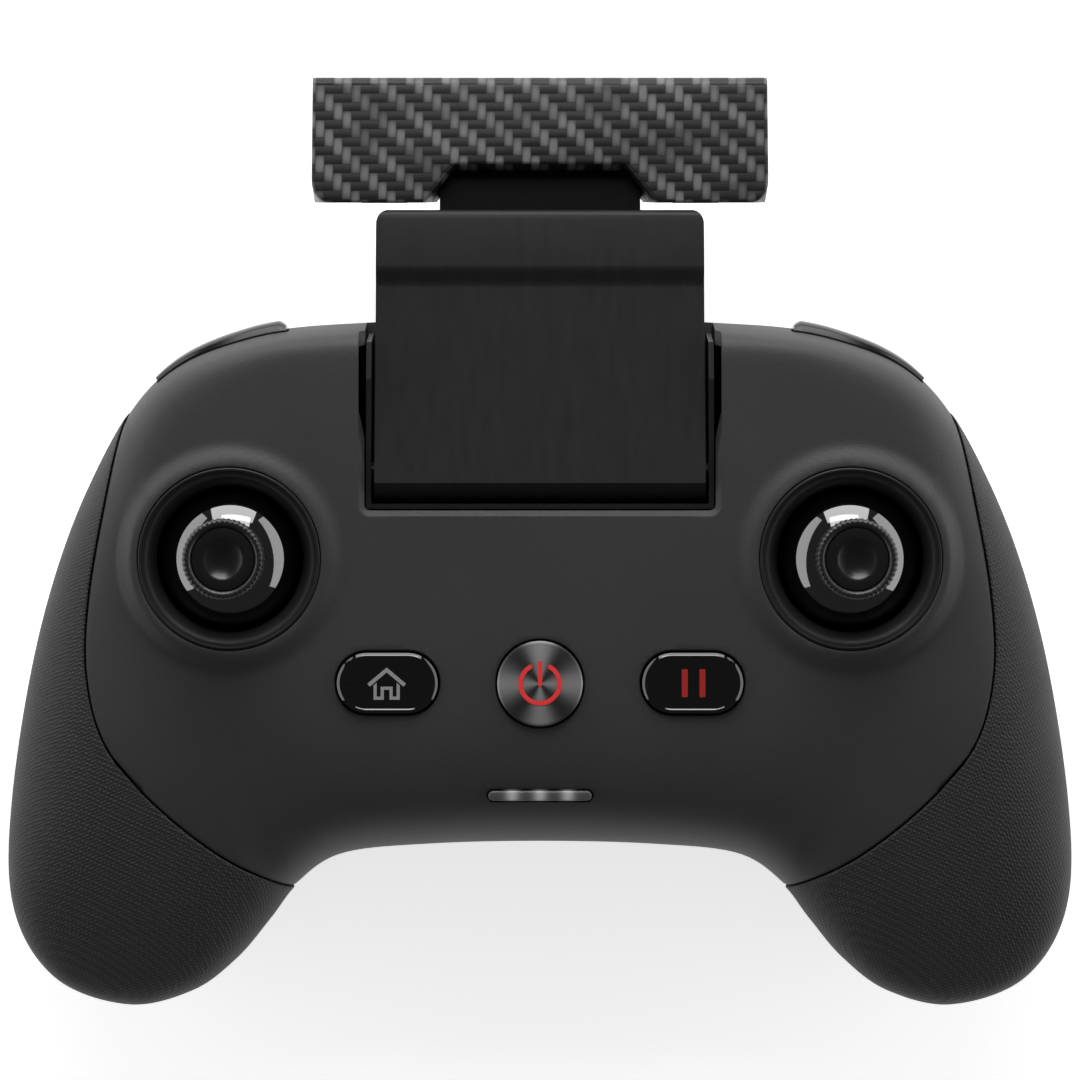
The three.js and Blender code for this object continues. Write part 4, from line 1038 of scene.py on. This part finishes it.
# ---------------------------------------------------------------- sticks
def collar_profile():
    """A funnel with a rounded lip, level with the raised ring of the shell."""
    top = RING_TOP + 0.14
    out = WELL_R - 0.1
    inner = out - 2 * COLLAR_BEAD - 0.5
    step = top - COLLAR_BEAD - 0.12
    rows = [(THROAT_R, top - COLLAR_DEPTH), (out, top - COLLAR_DEPTH)]
    rows += arc_rows(out - COLLAR_BEAD, top - COLLAR_BEAD, COLLAR_BEAD, 0, 180, 10)
    rows += [(inner + 0.5, step), (inner, step - 0.08)]
    for k in range(1, 13):
        t = k / 12
        rows.append((inner - (inner - THROAT_R) * t, step - 0.08 - 3.0 * (0.35 * t + 0.65 * t ** 2.2)))
    return rows


def dome_profile():
    rows = [(STEM_R + 0.3, PIVOT_Z + DOME_R + 0.4)]
    rows += arc_rows(0, PIVOT_Z, DOME_R, 78, -8, 40)
    rows += arc_rows(0, PIVOT_Z, DOME_R - 1.3, -8, 78, 20)
    return rows


def cap_profile():
    top = CAP_TOP
    rows = [(STEM_R + 0.3, 57.5), (3.4, 56.0), (4.4, 57.3), (CAP_R - 0.9, 58.1)]
    rows += arc_rows(CAP_R - 0.7, 59.0, 0.7, -60, 0, 4)
    rows += arc_rows(CAP_R - 0.75, top - 0.85, 0.75, 0, 80, 6)
    rows += [(CAP_R - 1.1, top - 0.12), (5.75, top - 0.35), (5.6, top - 0.5)]
    return rows


def cap_face_profile():
    """The smooth inner disc with its thumb dimple."""
    top = CAP_TOP
    rows = [(0, top - 3), (CAP_FACE_R, top - 3), (CAP_FACE_R, top - 0.62), (CAP_FACE_R - 0.2, top - 0.42)]
    rows += [(4.6, top - 0.3), (DIMPLE_R + 0.25, top - 0.36)]
    for k in range(15):
        inward = k / 14
        rows.append((DIMPLE_R * (1 - inward), top - 0.42 - DIMPLE_DEPTH * (1 - (1 - inward) ** 2)))
    return rows


def knurled(profile, x, y, ribs):
    """A closed profile turned about an upright axis and cut into ribs; ribs gives it at each angle."""
    steps = 288
    r, z = np.array(profile + [profile[0]]).T
    rows = []
    for k in range(steps + 1):
        a = 2 * math.pi * (k % steps) / steps
        out, high = ribs(r, z, a)
        rows.append(np.column_stack([x + out * math.cos(a), y + out * math.sin(a), high]))
    skin = Skin()
    skin.grid(rows)
    return skin


def wave(a, count):
    """0 to 1 and back, count times in a turn."""
    return 0.5 - 0.5 * math.cos(a * count)


def cap_ribs(r, z, a):
    weight = wave(a, CAP_RIBS) * np.clip((r - 5.9) / 1.0, 0, 1)
    return r - 0.16 * weight, z - 0.1 * weight * (z > CAP_TOP - 1.9)


def wheel_ribs(r, z, a):
    return r - 0.35 * wave(a, WHEEL_RIBS) * (r > WHEEL_R - 0.6), z


def sticks():
    for side, sign in SIDES:
        x, y = sign * STICK_X, STICK_Y
        stick = f"{side}_stick"
        collar = lathe(collar_profile(), x, y, 160).piece(f"{side}_collar")
        own(collar, "root", "collar", f"{side}_stick_collar")
        dome = lathe(dome_profile(), x, y, 160).piece(f"{side}_dome")
        own(dome, stick, "gloss", f"{side}_stick_dome", look="dome")
        stem = lathe([(0, 40), (STEM_R, 40), (STEM_R, 57.8), (0, 57.8)], x, y, 48).piece(f"{side}_stem")
        own(stem, stick, "steel", f"{side}_stick_stem")
        cap = knurled(cap_profile(), x, y, cap_ribs).piece(f"{side}_cap", sharp=50)
        own(cap, stick, "stick_cap", f"{side}_stick_cap")
        cap_face = lathe(cap_face_profile(), x, y, 128).piece(f"{side}_cap_face")
        own(cap_face, stick, "stick_cap", look="stick_face")


# ---------------------------------------------------------------- face buttons
def icon(name, loop, z, body, look, thick=0.05):
    """A printed mark, as a thin plate let into the top of its button."""
    own(prism(loop, [(0, z - 0.02), (0, z + thick)]).piece(name), body, "trim", look=look)


def face_key(name, sign, body):
    """A gloss key with a wide chamfered rim round a flat face."""
    loop = pill(sign * KEY_X, KEY_Y, KEY_LENGTH, KEY_WIDTH, 24)
    rim = ((0, 0.55), (-0.06, 0.36), (-0.42, 0.09), (-0.52, 0.03), (-0.66, 0.03), (-0.85, KEY_SUNK))
    steps = [(0, BUTTON_FOOT)] + [(offset, BUTTON_TOP - drop) for offset, drop in rim]
    own(prism(loop, steps).piece(name, sharp=15), body, "gloss", body)


def stroke(points, width):
    """A plan band of constant width with round ends along a line, as an anticlockwise loop."""
    points = np.array(points, dtype=float)
    d = np.gradient(points, axis=0)
    d /= np.linalg.norm(d, axis=1)[:, None]
    n = np.stack([-d[:, 1], d[:, 0]], axis=1)
    left, right = points + n * width / 2, points - n * width / 2
    start = math.atan2(n[0, 1], n[0, 0])
    stop = math.atan2(-n[-1, 1], -n[-1, 0])
    ends = []
    for centre, first in ((points[-1], stop), (points[0], start)):
        turns = first + np.arange(1, 8) * math.pi / 8
        ends.append(centre + width / 2 * np.stack([np.cos(turns), np.sin(turns)], axis=1))
    return tidy([tuple(p) for p in np.vstack([right, ends[0], left[::-1], ends[1]])])


def house_pieces(cx, cy, z):
    """The outline of a house: a roof band and a body with a doorway."""
    roof = [(0, 2.95), (3.4, 0.1), (2.95, -0.4), (0, 2.1), (-2.95, -0.4), (-3.4, 0.1)]
    outside = [(0.5, -0.95), (0.5, -2.7), (2.3, -2.7), (2.3, -0.2)]
    inside = [(1.75, 0.3), (1.75, -2.15), (1.05, -2.15), (1.05, -0.4)]
    right = outside + inside
    walls = right + [(-x, y) for x, y in reversed(right)]
    for name, outline, lift in (("home_roof", roof, 0.0), ("home_walls", walls, 0.005)):
        loop = np.array([(cx + x, cy + y) for x, y in outline])
        following = np.roll(loop, -1, axis=0)
        if np.sum(loop[:, 0] * following[:, 1] - following[:, 0] * loop[:, 1]) < 0:
            loop = loop[::-1]
        icon(name, loop, z, "home_button", "icon_grey", 0.04 + lift)


def buttons():
    face_key("home_key", -1, "home_button")
    face_key("pause_key", 1, "pause_button")
    face_z = BUTTON_TOP - KEY_SUNK
    house_pieces(-KEY_X - 0.1, KEY_Y - 0.2, face_z)
    for k, offset in enumerate((-1.55, 1.55)):
        x = KEY_X + 0.15 + offset
        loop = rounded(x - 0.52, x + 0.52, KEY_Y - 2.45, KEY_Y + 2.45, 0.12, 3)
        icon(f"pause_bar_{k + 1}", loop, face_z, "pause_button", "pause_red")
    rim = rounded_steps(BUTTON_FOOT, BUTTON_TOP, 0, 0.45, 5)
    disc = prism(circle(0, POWER_Y, POWER_R, 160), rim).piece("power_key")
    own(disc, "power_button", "spun_metal", "power_button")
    ring = arc_rows(0, POWER_Y, 3.42, 120, 420, 60)
    icon("power_ring", stroke(ring, 0.8), BUTTON_TOP, "power_button", "icon_red")
    icon("power_bar", pill(0, POWER_Y + 1.75, 0.76, 4.5, 8), BUTTON_TOP, "power_button", "icon_red")
    loop = pill(0, LIGHT_Y, LIGHT_LENGTH - 2 * GAP_HALF, LIGHT_WIDTH - 2 * GAP_HALF, 10)
    pipe = prism(loop, rounded_steps(38.2, 43.6, 0, 0.35, 4))
    own(pipe.piece("light_strip"), "root", "light_pipe", "light_pipe")


# ---------------------------------------------------------------- keys and wheels round the rim
def edge_controls(rear_tree):
    for side, sign in SIDES:
        bar = Skin().loft(shoulder_bar(0, -0.02)).piece(f"{side}_shoulder_key", mirror=sign < 0)
        own(bar, f"{side}_shoulder_button", "gloss", f"{side}_shoulder_button", look="shoulder")
        wheel = knurled(wheel_profile(), sign * WHEEL_X, WHEEL_Y, wheel_ribs)
        own(wheel.piece(f"{side}_wheel", sharp=50), f"{side}_dial_wheel", "trim", f"{side}_dial_wheel")
        foot = float(height_over(rear_tree, [(REAR_KEY_X, REAR_KEY_Y)], False)[0]) - 0.65
        loop = pill(sign * REAR_KEY_X, REAR_KEY_Y, REAR_KEY_LENGTH, REAR_KEY_WIDTH, 20)
        steps = rounded_steps(foot, 8.0, 0.5, 0, 5) + [(1.2, 8.0), (1.2, 9.0)]
        back_key = prism(loop, steps).piece(f"{side}_back_key")
        own(back_key, f"{side}_rear_button", "trim", f"{side}_rear_button")


def wheel_profile():
    z0, z1 = WHEEL_Z0 + 0.02, WHEEL_Z1 - 0.02
    edge = ((0.9, 0), (0.3, 0.2), (0.02, 0.8))
    low = [(WHEEL_R - inset, z0 + rise) for inset, rise in edge]
    high = [(WHEEL_R - inset, z1 - rise) for inset, rise in reversed(edge)]
    return [(WHEEL_BORE, z0)] + low + high + [(WHEEL_BORE, z1)]


# ---------------------------------------------------------------- the phone holder
def sweep_x(profile, x0, x1, name):
    """A (y, z) profile swept along x."""
    loops = [[(x, y, z) for y, z in profile] for x in (x0, x1)]
    return Skin().loft(loops).piece(name)


def leaned(piece):
    """Moves a piece's points from the holder's frame, where it was built, into the frame of the scene."""
    data = piece.data
    points = np.zeros(len(data.vertices) * 3)
    data.vertices.foreach_get("co", points)
    points = points.reshape(-1, 3) / MM - np.array([0, SHIFT_Y, 0])
    data.vertices.foreach_set("co", to_world(from_holder(points)).reshape(-1))
    data.update()
    return piece


def plate_profile(front):
    """Half of the plate's section, from its barrel up to its top edge."""
    inset = 0.02
    barrel, top = PLATE_BARREL - inset, PLATE_TOP - inset
    meet = math.degrees(math.asin(PLATE_THICK / PLATE_BARREL))
    rows = arc_rows(0, 0, barrel, 180 - meet, 180 + meet, 20)
    if not front:
        foot = sorted([(y, z) for y, z in rows if z < -GAP_HALF], reverse=True)
        edge = arc_rows(PLATE_TOP - 1, 1 - PLATE_THICK, 0.98, -30, -90, 2)
        return [(top, -GAP_HALF), (top, 1 - PLATE_THICK)] + edge + foot + [(-barrel, -GAP_HALF)]
    face = PLATE_THICK - inset
    profile = [(-barrel, GAP_HALF)] + sorted([(y, z) for y, z in rows if z > GAP_HALF])
    for k in range(13):
        t = k / 12
        profile.append((LIP_FROM - 0.6 + (LIP_TO - LIP_FROM + 1.2) * t, face + LIP_RISE * smooth_step(t)))
    profile.append((PLATE_TOP - 2.2, face + LIP_RISE))
    profile += arc_rows(PLATE_TOP - 1.6, face + LIP_RISE - 1.5, 1.5, 80, 0, 5)
    return profile + [(top, GAP_HALF)]


def plate_half(name, front):
    slab = sweep_x(plate_profile(front), -PLATE_HALF - 1, PLATE_HALF + 1, name)
    outline = rounded(-PLATE_HALF, PLATE_HALF, -PLATE_BARREL - 3, PLATE_TOP, PLATE_CORNER, 10)
    combine(slab, [prism(outline, rounded_steps(-5.2, 6.4, 0.5, 0, 4)).piece("rim")], "INTERSECT")
    cutters = [block(*SLEEVE_ROOM).piece("sleeve_room")]
    for s in (1, -1):
        rim = circle(0, 0, PIN_BORE_R, 24)
        bore = Skin().loft([np.column_stack([np.full(24, x), rim]) for x in (s * 20, s * (PLATE_HALF + 3))])
        middle = s * PLATE_PAD_X
        half = PAD_HALF + 0.3
        pad_room = block(middle - half, middle + half, 45.6, 50, PAD_Z0 - 0.3, PAD_Z1 + 0.3)
        cutters += [bore.piece("bore"), pad_room.piece("pad_room")]
    combine(slab, cutters, "DIFFERENCE")
    return leaned(slab)


def clamp_loop():
    half = CLAMP_HALF
    right = [(NOTCH_TOP_HALF, NOTCH_TOP), (NOTCH_LOW_HALF, CLAMP_LOW), (half, CLAMP_LOW)]
    left = [(-x, y) for x, y in reversed(right)]
    points = [(half, CLAMP_HIGH), (-half, CLAMP_HIGH)] + left + right
    return filleted(points, [1.0, 1.0, 4.6, 1.6, 1.8, 1.8, 1.6, 4.6], 8)


def clamp_edge(z):
    """Height of the clamp's gripping edge, which runs up towards its back."""
    return CLAMP_LOW + (CLAMP_FRONT - z) * CLAMP_SLOPE


def clamp_half(name, front):
    y1 = CLAMP_HIGH
    if front:
        profile = [(clamp_edge(GAP_HALF), GAP_HALF), (y1, GAP_HALF)]
        profile += arc_rows(y1 - CLAMP_ROLL, CLAMP_FRONT - CLAMP_ROLL, CLAMP_ROLL, 0, 90, 12)
        profile += [(CLAMP_LOW + 0.5, CLAMP_FRONT), (CLAMP_LOW + 0.15, CLAMP_FRONT - 0.15)]
        profile.append((clamp_edge(5.4), 5.4))
    else:
        profile = [(clamp_edge(z), z) for z in (-GAP_HALF, CLAMP_BACK)] + [(y1 - 1.2, CLAMP_BACK)]
        profile += arc_rows(y1 - 1.2, CLAMP_BACK + 1.2, 1.2, -72, 0, 4)
        profile += [(y1, -GAP_HALF)]
    slab = sweep_x(profile, -CLAMP_HALF - 1, CLAMP_HALF + 1, name)
    steps = rounded_steps(CLAMP_BACK - 0.01, CLAMP_FRONT + 0.01, 0.6, 0.7, 5)
    combine(slab, [prism(clamp_loop(), steps).piece("rim")], "INTERSECT")
    cutters = [block(*SLEEVE_ROOM).piece("sleeve_room"), block(*ARM_ROOM).piece("arm_room")]
    for s in (1, -1):
        cutters.append(block(*sorted((s * 19.4, s * 39.1)), 54.5, 68.7, -3.0, 3.8).piece("board_room"))
        cutters.append(clamp_pad(s, 3, 1.1, 0.3).piece("pad_room"))
    combine(slab, cutters, "DIFFERENCE")
    return leaned(slab)


def clamp_pad(sign, proud, deep, grow):
    """A bar along the clamp's sloping edge."""
    z0, z1 = PAD_Z0 - grow, PAD_Z1 + grow
    y0, y1 = clamp_edge(z0), clamp_edge(z1)
    profile = [(y0 - proud, z0), (y1 - proud, z1), (y1 + deep, z1), (y0 + deep, z0)]
    middle, half = sign * CLAMP_PAD_X, PAD_HALF + grow
    return Skin().loft([[(x, y, z) for y, z in profile] for x in (middle - half, middle + half)])


def holder():
    own(plate_half("holder_plate", True), "holder", "holder", "plate_front")
    own(plate_half("holder_back", False), "holder", "holder", "plate_back")
    own(clamp_half("clamp_face", True), "clamp", "carbon", "clamp_front")
    own(clamp_half("clamp_rear", False), "clamp", "holder", "clamp_back")
    sleeve = block(*SLEEVE).piece("sleeve")
    combine(sleeve, [block(*SLEEVE_BORE).piece("room")], "DIFFERENCE")
    own(leaned(sleeve), "sleeve", "arm", "telescopic_sleeve")
    own(leaned(block(*ARM).piece("slide")), "clamp", "arm", "telescopic_arm")
    for side, sign in SIDES:
        middle, half = sign * PLATE_PAD_X, PAD_HALF - 0.05
        loop = rounded(middle - half, middle + half, 45.95, 47.08, 0.25, 4)
        steps = rounded_steps(PAD_Z0 + 0.05, PAD_Z1 - 0.05, 0.3, 0.3, 3)
        pad = prism(loop, steps).piece(f"{side}_plate_pad_piece")
        own(leaned(pad), "holder", "rubber", f"{side}_plate_pad")
        pad = clamp_pad(sign, 0.1, 0.78, 0).piece(f"{side}_clamp_pad_piece")
        own(leaned(pad), "clamp", "rubber", f"{side}_clamp_pad")


# ---------------------------------------------------------------- the pieces kept from the CAD
KEPT = {
    "gimbal_housing": "frame",
    "gimbal_sensor": "board",
    "gimbal_ring": "frame",
    "wheel_axle": "steel",
    "wheel_bracket": "frame",
    # the hinge pin takes the near-black trim look as painted shade in the dark gap of the holder's bay
    "hinge_pin": "trim",
    "antenna_board": "board",
}
KEPT_SINGLE = {
    "keypad": "rubber",
    "main_board": "board",
    "battery_pack": "cell",
    "speaker": "frame",
    "usb_port": "steel",
    "charge_board": "board",
    "holder_cradle": "trim",
}


def keep(name, slot):
    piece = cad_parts[name]
    piece.data.materials.clear()
    piece.data.materials.append(M[slot])


def kept_pieces():
    for name, slot in KEPT.items():
        for side, _ in SIDES:
            keep(f"{side}_{name}", slot)
    for name, slot in KEPT_SINGLE.items():
        keep(name, slot)


# ---------------------------------------------------------------- stage
def floor():
    size = 4000.0
    piece = block(-size, size, -size, size, -10, -0.05).piece("floor")
    made, tree, shader = material("floor", grey(0.86), 0.9, Emission_Strength=0.7)
    shader.inputs["Emission Color"].default_value = (1, 1, 1, 1)
    tree.links.new(shades(tree, noise(tree, 3, 2), grey(0.85), grey(0.88)), shader.inputs["Base Color"])
    piece.data.materials.append(made)


def panel(name, place_at, width, height, power):
    """A soft rectangular light that looks at the controller; all in metres."""
    data = bpy.data.lights.new(name, "AREA")
    data.shape = "RECTANGLE"
    data.size, data.size_y = width, height
    data.energy = power
    light = bpy.data.objects.new(name, data)
    light.location = place_at
    aim = Vector((0, 0, 0.04))
    light.rotation_euler = (aim - Vector(place_at)).to_track_quat("-Z", "Y").to_euler()
    bpy.context.scene.collection.objects.link(light)


def around(azimuth, elevation, distance):
    """A point at an azimuth clockwise from +Y and an elevation, in degrees."""
    a, e = math.radians(azimuth), math.radians(elevation)
    out = distance * math.cos(e)
    return (out * math.sin(a), out * math.cos(a), distance * math.sin(e))


def lights():
    panel("top_panel", around(0, 17, 1.6), 1.5, 1.0, 20)
    panel("key", (0, 0.43, 0.35), 0.34, 0.2, 1.1)
    for sign in (1, -1):
        panel("side_panel", around(sign * 80, 17, 1.6), 3.1, 0.72, 16)
    world = bpy.data.worlds.new("studio")
    world.use_nodes = True
    background = world.node_tree.nodes["Background"]
    background.inputs["Color"].default_value = (1, 1, 1, 1)
    background.inputs["Strength"].default_value = 0.1
    bpy.context.scene.world = world


def camera():
    data = bpy.data.cameras.new("camera")
    data.sensor_width = 36
    data.lens = 151.8
    data.clip_start, data.clip_end = 0.05, 20
    made = bpy.data.objects.new("camera", data)
    made.location = (0, 0.00035, 0.845)
    bpy.context.scene.collection.objects.link(made)
    bpy.context.scene.camera = made
    bpy.context.scene.view_settings.view_transform = "Standard"


def build():
    rear_skin = shell_skin(-1, 24).piece("rear_probe")
    rear_probe = tree_of(rear_skin)
    bpy.data.objects.remove(rear_skin)
    shells_and_grips()
    sticks()
    buttons()
    edge_controls(rear_probe)
    holder()
    kept_pieces()
    floor()
    lights()
    camera()


build()
